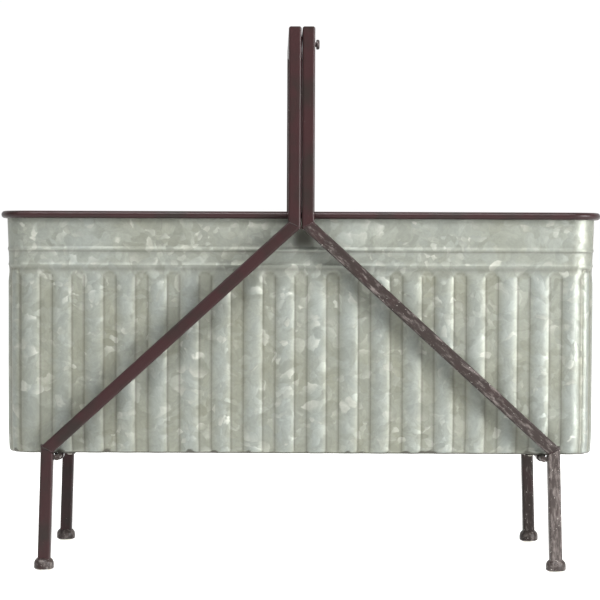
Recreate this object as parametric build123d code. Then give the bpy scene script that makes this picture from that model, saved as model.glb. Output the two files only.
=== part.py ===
"""Raised galvanised planter tub carried between two folding half-frames of square tube.

Frame: +X along the tub, +Y to the back, +Z up. The origin is on the floor, under the
middle of the tub. Sizes are in millimetres.
"""
from build123d import *
from math import cos, pi, radians, sin, sqrt
import os

# ---------------------------------------------------------------- driving dimensions
# Tub: pressed from galvanised sheet. Its length and depth are over the plain upper band.
TUB_LENGTH = 597.4
TUB_DEPTH = 200.0
CORNER_RADIUS = 25.0
SHEET = 0.8
BASE_SHEET = 1.0
FLOOR_GAP = 116.5            # floor to the underside of the tub's base
TUB_HEIGHT = 244.3           # underside of the base to the top of the rim

# Rolled rim round the top edge
RIM_DIAMETER = 7.4
RIM_WALL = 0.8
RIM_OVERHANG = 6.5           # how far the rim reaches out past the upper band

# Pressed beads under the rim, measured down from the rim's top
BEAD_DROP = 38.0             # middle of the narrow bead
BEAD_HEIGHT = 6.0
BEAD_RISE = 0.9
BELT_DROP = 53.8             # crest of the belt above the ribs
BELT_RISE = 0.7
BELT_CREST = 2.4             # height of the belt's upper flank
BELT_SKIRT = 9.0             # height of the belt's sloping lower flank

# Vertical ribs
RIB_DROP = 64.8              # rim's top down to the top of the ribs
RIB_PITCH_SIDE = 32.35
RIB_PITCH_END = 30.0
RIB_WRAP = 2.0               # a rib's middle may lie this far past the start of a corner
RIB_WIDTH = 19.7
CORNER_RIB_WIDTH = 10.5
PANEL_RECESS = 0.9           # the ground between ribs lies this far inside the upper band
RIB_RISE = 1.8               # crest above that ground

# Lock seam in the middle of each end
SEAM_WIDTH = 9.0
SEAM_PROUD = 0.2

# Base
BASE_FLANGE = 6.5            # height of the flange turned up inside the wall
BASE_EDGE_RADIUS = 0.4
FLANGE_CLEARANCE = 0.1

# Half-frames of square tube
TUBE = 12.7
TUBE_WALL = 1.2
TUBE_CORNER = 1.5
TUBE_INNER_CORNER = 0.4
FRAME_HEIGHT = 544.7
FRAME_SIDE_GAP = 2.15        # rim to the inner face of the frame's bars
HANDLE_GAP = 1.0             # between the two handles when they stand side by side
UPPER_BEND_DROP = 13.8       # rim's top down to the corner where upright and brace meet
LOWER_BEND_RISE = 8.1        # pivot up to the corner where brace and leg meet
LEG_SPLAY = 1.57             # degrees
PIVOT_INSET = 54.8           # end of the tub to the pivot

# Pivot rod and the straps that hold it under the base
ROD_DIAMETER = 6.0
ROD_END_SHORT = 3.0          # the rod stops this far short of the bars' outer faces
PIVOT_CLEARANCE = 0.08
WELD_GAP = 0.6
WELD_SPREAD = 1.6            # how far the weld reaches past the rod, along the leg
STRAP_THICKNESS = 1.2
STRAP_WIDTH = 16.0
STRAP_FLANGE = 12.0
STRAP_INSET = 12.0           # front of the tub to the middle of a strap
RIVET_SHANK = 3.0
RIVET_HOLE_CLEARANCE = 0.05
RIVET_HEAD = 6.4
RIVET_HEAD_HEIGHT = 1.5
RIVET_TAIL = 5.2
RIVET_TAIL_HEIGHT = 1.0

# Feet
CUP_DIAMETER = 20.4
CUP_HEIGHT = 10.6
CUP_TOP_DIAMETER = 17.6
CUP_SHOULDER = 5.0
CUP_LIP = 0.8
CUP_FLOOR = 1.4
PAD_DIAMETER = 16.4
PAD_THICKNESS = 1.6
PAD_EDGE = 0.6
PAD_PEG_DIAMETER = 4.0
PAD_PEG_CLEARANCE = 0.05

# Push pin that locks the two handles together
PIN_DIAMETER = 5.0
PIN_CLEARANCE = 0.06
PIN_HEAD_DIAMETER = 10.4
PIN_HEAD_LENGTH = 3.6
PIN_HEAD_ROUND = 1.2
PIN_TIP_ROUND = 0.5
PIN_TRAVEL = 2.2
PIN_STOP_CLEARANCE = 0.2
PIN_TIP_BACK = 0.1           # tip behind the handle's face when drawn back
BUSH_DIAMETER = 8.0
BUSH_FLANGE_DIAMETER = 11.0
BUSH_FLANGE = 0.8
BUSH_TAIL = 1.0
COLLAR_DIAMETER = 7.6
COLLAR_WIDTH = 1.0
COLLAR_CLEARANCE = 0.1
KEEPER_CLEARANCE = 0.5       # radial room round the pin in the other handle's hole

# ---------------------------------------------------------------- worked out from those
half_length = TUB_LENGTH / 2
half_depth = TUB_DEPTH / 2
straight_length = half_length - CORNER_RADIUS
straight_depth = half_depth - CORNER_RADIUS

rim_top_z = FLOOR_GAP + TUB_HEIGHT
rim_radius = RIM_DIAMETER / 2
rim_centre_z = rim_top_z - rim_radius
rim_centre_out = RIM_OVERHANG - rim_radius
wall_bottom_z = FLOOR_GAP + BASE_SHEET
rib_top_z = rim_top_z - RIB_DROP
# Ribs stand in pairs about the middle of each side, as many as fit before the corners.
rib_count_side = 2 * int((straight_length + RIB_WRAP) / RIB_PITCH_SIDE + 0.5)
rib_count_end = 2 * int((straight_depth + RIB_WRAP) / RIB_PITCH_END + 0.5)

bar_y = half_depth + RIM_OVERHANG + FRAME_SIDE_GAP + TUBE / 2
upright_x = HANDLE_GAP / 2 + TUBE / 2
crossbar_z = FRAME_HEIGHT - TUBE / 2
rod_radius = ROD_DIAMETER / 2
pivot_x = half_length - PIVOT_INSET
pivot_z = FLOOR_GAP - rod_radius - PIVOT_CLEARANCE
upper_bend_z = rim_top_z - UPPER_BEND_DROP
lower_bend_z = pivot_z + LOWER_BEND_RISE

# The rod lies against the leg's inner face, so the leg's line follows from the pivot.
splay = radians(LEG_SPLAY)
leg_offset = rod_radius + WELD_GAP + TUBE / 2
bend_to_pivot = (LOWER_BEND_RISE - leg_offset * sin(splay)) / cos(splay)
lower_bend_x = pivot_x - bend_to_pivot * sin(splay) + leg_offset * cos(splay)
cup_bottom_z = PAD_THICKNESS
leg_end_z = cup_bottom_z + CUP_FLOOR
foot_x = lower_bend_x + (lower_bend_z - leg_end_z) * sin(splay) / cos(splay)

SIDES = {"left": -1, "right": 1}
FACES = {"front": -1, "back": 1}


# ---------------------------------------------------------------- helpers
def save(shape, node):
    """Write one node; a node of several pieces is a compound of separate solids."""
    solids = shape.solids() if hasattr(shape, "solids") else [s for p in shape for s in p.solids()]
    whole = solids[0] if len(solids) == 1 else Compound(children=list(solids))
    export_step(whole, f"parts/{node}.step")


def around_tub(section):
    """Carry a section round the tub. Its x is the distance out from the upper band."""
    pieces = []
    for turn, along, across in (
        (0, straight_length, half_depth),
        (90, straight_depth, half_length),
        (180, straight_length, half_depth),
        (270, straight_depth, half_length),
    ):
        plane = Plane(origin=(along, -across, 0), x_dir=(0, -1, 0), z_dir=(-1, 0, 0))
        side = extrude(plane * section, 2 * along)
        corner_plane = Plane(
            origin=(along, -across + CORNER_RADIUS, 0), x_dir=(0, -1, 0), z_dir=(-1, 0, 0)
        )
        corner_section = corner_plane * (Pos(CORNER_RADIUS, 0, 0) * section)
        corner = revolve(corner_section, Axis(corner_plane.origin, (0, 0, 1)), 90)
        pieces += [Rot(0, 0, turn) * side, Rot(0, 0, turn) * corner]
    ring = pieces[0]
    for piece in pieces[1:]:
        ring = ring + piece
    return ring


def outline_point(s, out):
    """Point at distance s round the ground between the ribs, moved out by `out`.

    s starts in the middle of the front and runs to +X. The ground is PANEL_RECESS
    inside the upper band.
    """
    radius = CORNER_RADIUS - PANEL_RECESS
    quarter = pi * radius / 2
    runs = [straight_length, quarter, 2 * straight_depth, quarter, 2 * straight_length,
            quarter, 2 * straight_depth, quarter, straight_length]
    s = s % sum(runs)
    centres = [(straight_length, -straight_depth), (straight_length, straight_depth),
               (-straight_length, straight_depth), (-straight_length, -straight_depth)]
    index = 0
    while s > runs[index] and index < len(runs) - 1:
        s -= runs[index]
        index += 1
    heading = (index // 2) * pi / 2
    reach = radius + out
    if index % 2:
        turn = heading + s / radius
        cx, cy = centres[index // 2]
        return Vector(cx + reach * sin(turn), cy - reach * cos(turn), 0)
    if index == 0:
        x, y = s, -straight_depth
    else:
        x, y = centres[(index // 2 - 1) % 4]
        x, y = x + s * cos(heading), y + s * sin(heading)
    return Vector(x + reach * sin(heading), y - reach * cos(heading), 0)


def outline_breaks():
    """Distances at which the ground's outline passes from flat to corner and back."""
    radius = CORNER_RADIUS - PANEL_RECESS
    quarter = pi * radius / 2
    marks = [straight_length]
    for run in (quarter, 2 * straight_depth, quarter, 2 * straight_length,
                quarter, 2 * straight_depth, quarter):
        marks.append(marks[-1] + run)
    return marks, marks[-1] + straight_length


def rib_places():
    """Middle and width of each rib, as distances round the ground's outline."""
    marks, total = outline_breaks()
    places = []
    for centre, count, pitch in (
        (0, rib_count_side, RIB_PITCH_SIDE),
        ((marks[1] + marks[2]) / 2, rib_count_end, RIB_PITCH_END),
        ((marks[3] + marks[4]) / 2, rib_count_side, RIB_PITCH_SIDE),
        ((marks[5] + marks[6]) / 2, rib_count_end, RIB_PITCH_END),
    ):
        for k in range(count):
            places.append(((centre + (k - (count - 1) / 2) * pitch) % total, RIB_WIDTH))
    for start in (0, 2, 4, 6):
        places.append(((marks[start] + marks[start + 1]) / 2, CORNER_RIB_WIDTH))
    return sorted(places), marks, total


def ribbed_face(out):
    """Filled outline with its ribs. `out` moves all of it outwards or inwards."""
    places, marks, total = rib_places()
    edges = []
    for i, (middle, width) in enumerate(places):
        first = outline_point(middle - width / 2, out)
        crest = outline_point(middle, out + RIB_RISE)
        last = outline_point(middle + width / 2, out)
        edges.append(ThreePointArc(first, crest, last))
        here = middle + width / 2
        following = places[(i + 1) % len(places)]
        there = following[0] - following[1] / 2
        if there < here:
            there += total
        stops = [m + lap for lap in (0, total) for m in marks if here < m + lap < there]
        for a, b in zip([here] + stops, stops + [there]):
            middle_of_run = ((a + b) / 2) % total
            corner = sum(1 for m in marks if m < middle_of_run) % 2 == 1
            p, q = outline_point(a, out), outline_point(b, out)
            if corner:
                edges.append(ThreePointArc(p, outline_point((a + b) / 2, out), q))
            else:
                edges.append(Line(p, q))
    return make_face(Wire([edge for curve in edges for edge in curve.edges()]))


def plain_face(out):
    """Filled rounded rectangle, `out` millimetres outside the upper band."""
    return RectangleRounded(TUB_LENGTH + 2 * out, TUB_DEPTH + 2 * out, CORNER_RADIUS + out)


def bar(start, end, start_cut=None, end_cut=None, hollow=True):
    """Length of square tube from start to end, each end cut by a plane that faces the bar."""
    start, end = Vector(*start), Vector(*end)
    along = (end - start).normalized()
    across = Vector(1, 0, 0) if abs(along.Y) > 0.5 else Vector(0, 1, 0)
    extra = TUBE
    plane = Plane(origin=start - along * extra, x_dir=across, z_dir=along)
    section = RectangleRounded(TUBE, TUBE, TUBE_CORNER)
    if hollow:
        bore = TUBE - 2 * TUBE_WALL
        section = section - RectangleRounded(bore, bore, TUBE_INNER_CORNER)
    length = (end - start).length
    body = extrude(plane * section, length + 2 * extra)
    for cut in (start_cut, end_cut):
        body = split(body, bisect_by=cut, keep=Keep.TOP)
    return body


def mitre(corner, towards, other):
    """Plane through a corner that halves the angle between two bars and faces the first."""
    corner = Vector(*corner)
    first = (Vector(*towards) - corner).normalized()
    second = (Vector(*other) - corner).normalized()
    return Plane(origin=corner, z_dir=first - second)


# ---------------------------------------------------------------- tub
def rim_section(radius):
    return Plane.XY * Pos(rim_centre_out, rim_centre_z) * Circle(radius)


def make_rim():
    return around_tub(rim_section(rim_radius) - rim_section(rim_radius - RIM_WALL))


def rim_underside(out):
    """Height of the rim's lower surface at a distance out from the upper band."""
    return rim_centre_z - sqrt(rim_radius**2 - (out - rim_centre_out) ** 2)


def rim_seat(start, end):
    """Arc of the rim's lower surface between two distances out from the upper band."""
    middle = (start + end) / 2
    return ThreePointArc(*[(out, rim_underside(out)) for out in (start, middle, end)])


def make_wall():
    """Whole wall: ribbed panel, closed tops of the ribs, and the beaded band above."""
    bead_z = rim_top_z - BEAD_DROP
    belt_z = rim_top_z - BELT_DROP
    low = -PANEL_RECESS

    def face_line(out):
        points = [(low + out, rib_top_z), (low + out, belt_z - BELT_SKIRT),
                  (BELT_RISE + out, belt_z), (out, belt_z + BELT_CREST),
                  (out, bead_z - BEAD_HEIGHT / 2)]
        bead = ThreePointArc((out, bead_z - BEAD_HEIGHT / 2), (out + BEAD_RISE, bead_z),
                             (out, bead_z + BEAD_HEIGHT / 2))
        top = Line((out, bead_z + BEAD_HEIGHT / 2), (out, rim_underside(out)))
        return Polyline(*points) + bead + top

    outer, inner = face_line(0), face_line(-SHEET)
    foot = Line((low - SHEET, rib_top_z), (low, rib_top_z))
    section = make_face(Wire((outer + inner + rim_seat(-SHEET, 0) + foot).edges()))
    band = around_tub(section)

    panel_height = rib_top_z - wall_bottom_z
    skin = ribbed_face(0) - ribbed_face(-SHEET)
    panel = Pos(0, 0, wall_bottom_z) * extrude(skin, panel_height)
    shelf_face = ribbed_face(0) - plain_face(-PANEL_RECESS - SHEET)
    shelf = Pos(0, 0, rib_top_z - SHEET) * extrude(shelf_face, SHEET)
    return panel + shelf + band


def make_seam(side):
    """Folded lock seam that joins the two halves of the wall at one end."""
    inner = -PANEL_RECESS - SHEET
    line = Polyline(
        (-SHEET, rim_underside(-SHEET)), (inner, rim_underside(-SHEET)), (inner, wall_bottom_z),
        (SEAM_PROUD, wall_bottom_z), (SEAM_PROUD, rim_underside(SEAM_PROUD)),
    )
    section = make_face(Wire((line + rim_seat(SEAM_PROUD, -SHEET)).edges()))
    strip = extrude(Plane.XZ * Pos(half_length, 0) * section, SEAM_WIDTH / 2, both=True)
    return strip if side > 0 else mirror(strip, about=Plane.YZ)


def rivet_places():
    """Middle of each rivet: one in each flange of each strap."""
    out = rod_radius + PIVOT_CLEARANCE + STRAP_THICKNESS + STRAP_FLANGE / 2
    return [(side * pivot_x + step * out, face * (half_depth - STRAP_INSET))
            for side in SIDES.values() for face in FACES.values() for step in (-1, 1)]


def make_base():
    plate = Pos(0, 0, FLOOR_GAP) * extrude(plain_face(0), BASE_SHEET)
    lower_edges = plate.edges().group_by(Axis.Z)[0]
    plate = fillet(lower_edges, BASE_EDGE_RADIUS)
    flange_out = -PANEL_RECESS - SHEET - FLANGE_CLEARANCE
    flange = extrude(plain_face(flange_out) - plain_face(flange_out - SHEET), BASE_FLANGE)
    base = plate + Pos(0, 0, wall_bottom_z) * flange
    hole = RIVET_SHANK / 2 + RIVET_HOLE_CLEARANCE
    for x, y in rivet_places():
        base = base - Pos(x, y, FLOOR_GAP + BASE_SHEET / 2) * Cylinder(hole, 2 * BASE_SHEET)
    return base


def make_strap(side, face):
    """Saddle strap: a U under the pivot rod with a riveted flange on each side."""
    inner = rod_radius + PIVOT_CLEARANCE
    outer = inner + STRAP_THICKNESS
    drop = FLOOR_GAP - pivot_z
    flange = STRAP_FLANGE
    outline = Polyline(
        (-inner, 0), (-inner, drop), (-outer - flange, drop),
        (-outer - flange, drop - STRAP_THICKNESS), (-outer, drop - STRAP_THICKNESS), (-outer, 0),
    )
    outline += ThreePointArc((-outer, 0), (0, -outer), (outer, 0))
    outline += Polyline(
        (outer, 0), (outer, drop - STRAP_THICKNESS), (outer + flange, drop - STRAP_THICKNESS),
        (outer + flange, drop), (inner, drop), (inner, 0),
    )
    outline += ThreePointArc((inner, 0), (0, -inner), (-inner, 0))
    section = make_face(Wire(outline.edges()))
    middle_y = face * (half_depth - STRAP_INSET)
    plane = Plane(
        origin=(side * pivot_x, middle_y + STRAP_WIDTH / 2, pivot_z),
        x_dir=(1, 0, 0), z_dir=(0, -1, 0),
    )
    strap = extrude(plane * section, STRAP_WIDTH)
    hole = RIVET_SHANK / 2 + RIVET_HOLE_CLEARANCE
    reach = outer + flange / 2
    for step in (-1, 1):
        at = Pos(side * pivot_x + step * reach, middle_y, FLOOR_GAP - STRAP_THICKNESS / 2)
        strap = strap - at * Cylinder(hole, 2 * STRAP_THICKNESS)
    return strap


def make_rivets():
    """Rivets through strap and base: domed head below, flat tail inside the tub."""
    head_z = FLOOR_GAP - STRAP_THICKNESS
    shank_height = STRAP_THICKNESS + BASE_SHEET
    dome = Cylinder(RIVET_HEAD / 2, RIVET_HEAD_HEIGHT, align=(Align.CENTER, Align.CENTER, Align.MAX))
    dome = fillet(dome.edges().group_by(Axis.Z)[0], RIVET_HEAD_HEIGHT * 0.7)
    shank = Cylinder(RIVET_SHANK / 2, shank_height, align=(Align.CENTER, Align.CENTER, Align.MIN))
    tail = Pos(0, 0, shank_height) * Cylinder(
        RIVET_TAIL / 2, RIVET_TAIL_HEIGHT, align=(Align.CENTER, Align.CENTER, Align.MIN)
    )
    rivet = dome + shank + tail
    return [Pos(x, y, head_z) * rivet for x, y in rivet_places()]


# ---------------------------------------------------------------- half-frames
def frame_points(side, face):
    """Corner points of one bent row of bars, from the floor to the handle."""
    y = face * bar_y
    return {
        "foot": (side * foot_x, y, leg_end_z),
        "lower": (side * lower_bend_x, y, lower_bend_z),
        "upper": (side * upright_x, y, upper_bend_z),
        "top": (side * upright_x, y, crossbar_z),
        "far_top": (side * upright_x, -y, crossbar_z),
    }


def make_leg(side, face, hollow=True):
    p = frame_points(side, face)
    floor_cut = Plane(origin=p["foot"], z_dir=(0, 0, 1))
    return bar(p["foot"], p["lower"], floor_cut, mitre(p["lower"], p["foot"], p["upper"]), hollow)


def make_brace(side, face):
    p = frame_points(side, face)
    return bar(p["lower"], p["upper"], mitre(p["lower"], p["upper"], p["foot"]),
               mitre(p["upper"], p["lower"], p["top"]))


def make_upright(side, face):
    p = frame_points(side, face)
    return bar(p["upper"], p["top"], mitre(p["upper"], p["top"], p["lower"]),
               mitre(p["top"], p["upper"], p["far_top"]))


def make_crossbar(side):
    """Handle bar across the top. The right one carries the lock pin, the left its hole."""
    front, back = frame_points(side, -1), frame_points(side, 1)
    crossbar = bar(front["top"], back["top"], mitre(front["top"], back["top"], front["upper"]),
                   mitre(back["top"], front["top"], back["upper"]))
    if side > 0:
        outer_wall = Pos(HANDLE_GAP / 2 + TUBE, 0, crossbar_z) * Rot(0, 90, 0)
        inner_wall = Pos(HANDLE_GAP / 2, 0, crossbar_z) * Rot(0, 90, 0)
        crossbar = crossbar - outer_wall * Cylinder(BUSH_DIAMETER / 2, 3 * TUBE_WALL)
        return crossbar - inner_wall * Cylinder(PIN_DIAMETER / 2 + PIN_CLEARANCE, 3 * TUBE_WALL)
    keeper = Pos(-HANDLE_GAP / 2, 0, crossbar_z) * Rot(0, 90, 0)
    return crossbar - keeper * Cylinder(PIN_DIAMETER / 2 + KEEPER_CLEARANCE, 3 * TUBE_WALL)


def make_rod(side):
    reach = bar_y + TUBE / 2 - ROD_END_SHORT
    return Pos(side * pivot_x, 0, pivot_z) * Rot(90, 0, 0) * Cylinder(rod_radius, 2 * reach)


def make_rod_welds(side):
    """Fillet weld between the rod and each leg's inner face."""
    reach = rod_radius + WELD_SPREAD
    half_leg = TUBE / 2
    welds = []
    for face in FACES.values():
        plane = Plane(origin=(side * pivot_x, face * bar_y, pivot_z), x_dir=(1, 0, 0), z_dir=(0, -1, 0))
        section = Polyline(
            (side * rod_radius * 0.2, reach * 0.7), (side * (rod_radius + WELD_GAP), reach),
            (side * (rod_radius + WELD_GAP), -reach), (side * rod_radius * 0.2, -reach * 0.7),
            close=True,
        )
        blank = extrude(plane * (Rot(0, 0, side * LEG_SPLAY) * make_face(section)), half_leg - ROD_END_SHORT,
                        both=True)
        welds.append(blank - make_rod(side))
    return welds


def make_cup(side, face):
    """Bell-shaped foot with a pocket for the leg and a hole for the pad's peg."""
    bottom, top = CUP_DIAMETER / 2, CUP_TOP_DIAMETER / 2
    half = Polyline((0, 0), (bottom, 0), (top, CUP_HEIGHT), (0, CUP_HEIGHT), close=True)
    cup = revolve(Plane.XZ * make_face(half), Axis.Z, 360)
    cup = fillet(cup.edges().group_by(Axis.Z)[-1], CUP_SHOULDER)
    cup = fillet(cup.edges().group_by(Axis.Z)[0], CUP_LIP)
    cup = Pos(side * foot_x, face * bar_y, cup_bottom_z) * cup
    peg_hole = Pos(side * foot_x, face * bar_y, cup_bottom_z) * Cylinder(
        PAD_PEG_DIAMETER / 2 + PAD_PEG_CLEARANCE, 3 * CUP_FLOOR
    )
    return cup - make_leg(side, face, hollow=False) - peg_hole


def make_pad(side, face):
    """Plastic glide under the foot, with a peg up through the cup's floor."""
    disc = Cylinder(PAD_DIAMETER / 2, PAD_THICKNESS, align=(Align.CENTER, Align.CENTER, Align.MIN))
    disc = fillet(disc.edges().group_by(Axis.Z)[0], PAD_EDGE)
    peg = Pos(0, 0, PAD_THICKNESS) * Cylinder(
        PAD_PEG_DIAMETER / 2, CUP_FLOOR, align=(Align.CENTER, Align.CENTER, Align.MIN)
    )
    return Pos(side * foot_x, face * bar_y, 0) * (disc + peg)


# ---------------------------------------------------------------- lock pin
def ring_along_x(x_start, x_end, outer, inner=0.0):
    length = x_end - x_start
    body = Cylinder(outer, length, align=(Align.CENTER, Align.CENTER, Align.MIN))
    if inner:
        body = body - Cylinder(inner, 3 * length)
    return Pos(x_start, 0, crossbar_z) * Rot(0, 90, 0) * body


handle_face_x = HANDLE_GAP / 2 + TUBE
bush_inner_x = handle_face_x - TUBE_WALL - BUSH_TAIL
collar_end_x = bush_inner_x - COLLAR_CLEARANCE
pin_tip_x = HANDLE_GAP / 2 + PIN_TIP_BACK
head_start_x = handle_face_x + BUSH_FLANGE + PIN_TRAVEL + PIN_STOP_CLEARANCE
pin_radius = PIN_DIAMETER / 2


def make_bush():
    hole = pin_radius + PIN_CLEARANCE
    body = ring_along_x(bush_inner_x, handle_face_x, BUSH_DIAMETER / 2, hole)
    return body + ring_along_x(handle_face_x, handle_face_x + BUSH_FLANGE,
                               BUSH_FLANGE_DIAMETER / 2, hole)


def make_pin():
    shank = ring_along_x(pin_tip_x, head_start_x, pin_radius)
    shank = fillet(shank.edges().group_by(Axis.X)[0], PIN_TIP_ROUND)
    head = ring_along_x(head_start_x, head_start_x + PIN_HEAD_LENGTH, PIN_HEAD_DIAMETER / 2)
    head = fillet(head.edges().group_by(Axis.X)[-1], PIN_HEAD_ROUND)
    return shank + head


def make_collar():
    return ring_along_x(collar_end_x - COLLAR_WIDTH, collar_end_x, COLLAR_DIAMETER / 2, pin_radius)


# ---------------------------------------------------------------- all nodes
def main():
    os.makedirs("parts", exist_ok=True)

    save(make_rim(), "top_rim")
    wall = make_wall() - Pos(0, 0, rim_top_z / 2) * Box(2 * TUB_LENGTH, SEAM_WIDTH, 2 * rim_top_z)
    halves = wall.solids().sort_by(Axis.Y)
    save(halves[0], "wall_front")
    save(halves[-1], "wall_back")
    save(make_base(), "tub_base")
    save(make_rivets(), "strap_rivets")

    for side_name, side in SIDES.items():
        save(make_seam(side), f"end_seam_{side_name}")
        save(make_crossbar(side), f"{side_name}_crossbar")
        save(make_rod(side), f"{side_name}_pivot_rod")
        save(make_rod_welds(side), f"{side_name}_rod_welds")
        for face_name, face in FACES.items():
            save(make_strap(side, face), f"saddle_strap_{side_name}_{face_name}")
            save(make_leg(side, face), f"{side_name}_{face_name}_leg")
            save(make_brace(side, face), f"{side_name}_{face_name}_brace")
            save(make_upright(side, face), f"{side_name}_{face_name}_upright")
            save(make_cup(side, face), f"{side_name}_{face_name}_foot_cup")
            save(make_pad(side, face), f"{side_name}_{face_name}_glide_pad")

    save(make_bush(), "lock_pin_bush")
    save(make_pin(), "lock_pin")
    save(make_collar(), "lock_pin_collar")


main()
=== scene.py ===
"""Raised tub planter: the finished look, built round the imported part.

Every piece is in metres, in the part's own frame: +X along the tub, +Y to the back, +Z up,
with the origin on the floor under the middle of the tub.
"""

import math

import bpy
import numpy as np
from bpy.props import FloatProperty, FloatVectorProperty, IntProperty, PointerProperty, StringProperty
from mathutils import Matrix, Vector, noise


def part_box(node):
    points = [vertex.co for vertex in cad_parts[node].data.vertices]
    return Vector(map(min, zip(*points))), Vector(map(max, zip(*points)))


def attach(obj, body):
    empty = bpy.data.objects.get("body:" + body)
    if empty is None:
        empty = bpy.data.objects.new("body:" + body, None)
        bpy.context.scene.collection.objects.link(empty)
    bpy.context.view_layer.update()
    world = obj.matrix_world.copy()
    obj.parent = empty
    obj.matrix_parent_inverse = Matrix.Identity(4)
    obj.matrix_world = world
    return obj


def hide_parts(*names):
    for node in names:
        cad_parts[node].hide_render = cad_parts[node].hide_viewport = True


bl_info = {
    "name": "Raised Tub Planter",
    "version": (1, 0, 0),
    "blender": (4, 5, 0),
    "location": "3D View > Sidebar > Planter",
    "description": "Builds the pressed zinc tub, its folding bar frames and the studio round them",
    "category": "Add Mesh",
}

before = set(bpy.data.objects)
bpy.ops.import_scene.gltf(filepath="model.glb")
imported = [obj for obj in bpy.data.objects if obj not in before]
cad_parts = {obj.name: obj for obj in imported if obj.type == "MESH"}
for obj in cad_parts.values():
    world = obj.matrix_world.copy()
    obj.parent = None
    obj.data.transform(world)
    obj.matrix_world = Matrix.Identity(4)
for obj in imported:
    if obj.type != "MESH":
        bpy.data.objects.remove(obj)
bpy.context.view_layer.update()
MM = 0.001
PIN_PLAY = 0.06 * MM
RIVET_INSET = 6 * MM
SIDES = {"left": -1, "right": 1}
FACES = {"front": -1, "back": 1}
GALVANISED = "galvanised_sheet"
PAINTED = "bronze_painted_steel"
ZINC = "zinc_plated_steel"
DARK = "dark_steel"
GLIDE = "glide_plastic"
# The material that stands for each of the part's slots.
SLOT_FINISH = {
    GALVANISED: "hot_dip_galvanised_spangle",
    PAINTED: "sprayed_bronze_enamel",
    ZINC: "bright_zinc_plating",
    DARK: "oil_blackened_turned_steel",
    GLIDE: "moulded_nylon_glide",
}
# Each lamp's place, width and height in metres. All of them point at the tub's lower half.
LAMPS = {
    "key_light": ((2.15, -1.5, 0.62), 1.1, 1.1),
    "edge_light": ((-1.5, -1.45, 1.9), 0.9, 0.9),
    "top_light": ((0.05, -1.5, 2.1), 1.2, 0.9),
}
LAMP_AIM = (0, 0, 0.25)


# ---------------------------------------------------------------- settings
def length(name, description, millimetres):
    """A size that the user sees as a length."""
    return FloatProperty(name=name, description=description, default=millimetres * MM,
                         unit="LENGTH", precision=5)


def paint(name, description, hex_value):
    """A colour kept as an sRGB hex value."""
    return StringProperty(name=name, description=description, default=hex_value)


class PlanterTub(bpy.types.PropertyGroup):
    corner: length("Corner radius", "Radius of the tub's upright corners", 25)
    sheet: length("Sheet", "Thickness of the galvanised sheet", 0.8)
    rim_out: length("Rim overhang", "How far the rolled rim reaches past the upper band", 6.5)
    rim_tube: length("Rim diameter", "Diameter of the rolled rim", 7.4)
    bead_drop: length("Bead drop", "Top of the rim down to the crest of the bead", 38.7)
    bead_height: length("Bead height", "Height of the pressed bead", 6.2)
    bead_rise: length("Bead rise", "How far the bead stands out", 0.7)
    belt_drop: length("Belt drop", "Top of the rim down to the crest of the belt", 54.6)
    belt_rise: length("Belt rise", "How far the belt stands out", 0.8)
    rib_pitch: length("Side rib pitch", "Distance between ribs on the long sides", 32.35)
    rib_pitch_end: length("End rib pitch", "Distance between ribs on the ends", 30)
    rib_width: length("Rib width", "Width of one pressed rib", 19.7)
    corner_rib: length("Corner rib width", "Width of the narrow rib on each corner", 10.5)
    recess: length("Panel recess", "How far the ground lies inside the upper band", 0.9)
    rib_rise: length("Rib rise", "Height of a rib's crest above the ground", 1.8)
    side_ribs: IntProperty(name="Side ribs", description="Ribs on each long side", default=18, min=2)
    end_ribs: IntProperty(name="End ribs", description="Ribs on each end", default=6, min=2)
    hem: length("Hem round", "Radius at which the wall turns in under the tub", 3.4)
    seam: length("Seam width", "Width of the folded seam on each end", 9)
    plate: length("Base plate", "Thickness of the base plate", 1)
    lean: length("End lean", "How far each end leans in at the bottom", 3.5)


class PlanterFrame(bpy.types.PropertyGroup):
    round_edge: length("Bar edge", "Radius along the edges of the square tube", 2.2)
    splay: FloatProperty(name="Leg splay", description="How far each leg leans outwards",
                         default=math.radians(1.57), subtype="ANGLE")
    weld_gap: length("Weld gap", "Space between the pivot rod and the leg", 0.6)
    bend_rise: length("Lower bend", "Pivot up to the corner of brace and leg", 8.1)
    bend_drop: length("Upper bend", "Top of the rim down to the corner of upright and brace", 13.8)
    bead: length("Weld bead", "Radius of the bead of weld at a bend", 0.95)
    pin_head: length("Pin head", "Length of the lock pin's head", 3.6)
    bush_flange: length("Bush flange", "Thickness of the flange round the lock pin", 0.8)
    tube_wall: length("Tube wall", "Thickness of the square tube's wall, seen in the pin's holes", 1.2)
    pin_shank: length("Pin shank", "Radius of the lock pin's shank", 2.5)
    bush_body: length("Bush body", "Radius of the bush inside the handle", 4)
    keeper: length("Keeper hole", "Radius of the oversize hole in the left handle", 3)


class PlanterFinish(bpy.types.PropertyGroup):
    zinc_olive: paint("Zinc, warm crystals", "Warm crystals of the spangle", "797A6C")
    zinc_blue: paint("Zinc, cool crystals", "Cool crystals of the spangle", "818681")
    zinc_pale: paint("Zinc, pale crystals", "Palest crystals of the spangle", "A3A49B")
    # Painted shade: this colour darkens the sheet where shade falls, in its creases, under the bead,
    # belt and rim, at the hem and behind the frame's joint.
    zinc_painted_shade: paint("Zinc, in the folds", "Grime that stays in creases and the hem", "403E37")
    bronze: paint("Bronze paint", "Main colour of the painted bars", "2B1819")
    bronze_dark: paint("Bronze paint, shaded", "Darker, browner patches of the paint", "221A18")
    bronze_worn: paint("Rubbed paint", "Where the paint is rubbed down to its grey base", "67605D")
    speck: paint("Bare specks", "Bare metal where the paint is chipped", "B9B4AE")
    plating: paint("Zinc plating", "Bright plated rivets", "A9A8A3")
    blackened: paint("Blackened steel", "Lock pin, its bush and its collar", "2B2627")
    nylon: paint("Glide", "Moulded glides under the feet", "CFCAC2")


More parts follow.
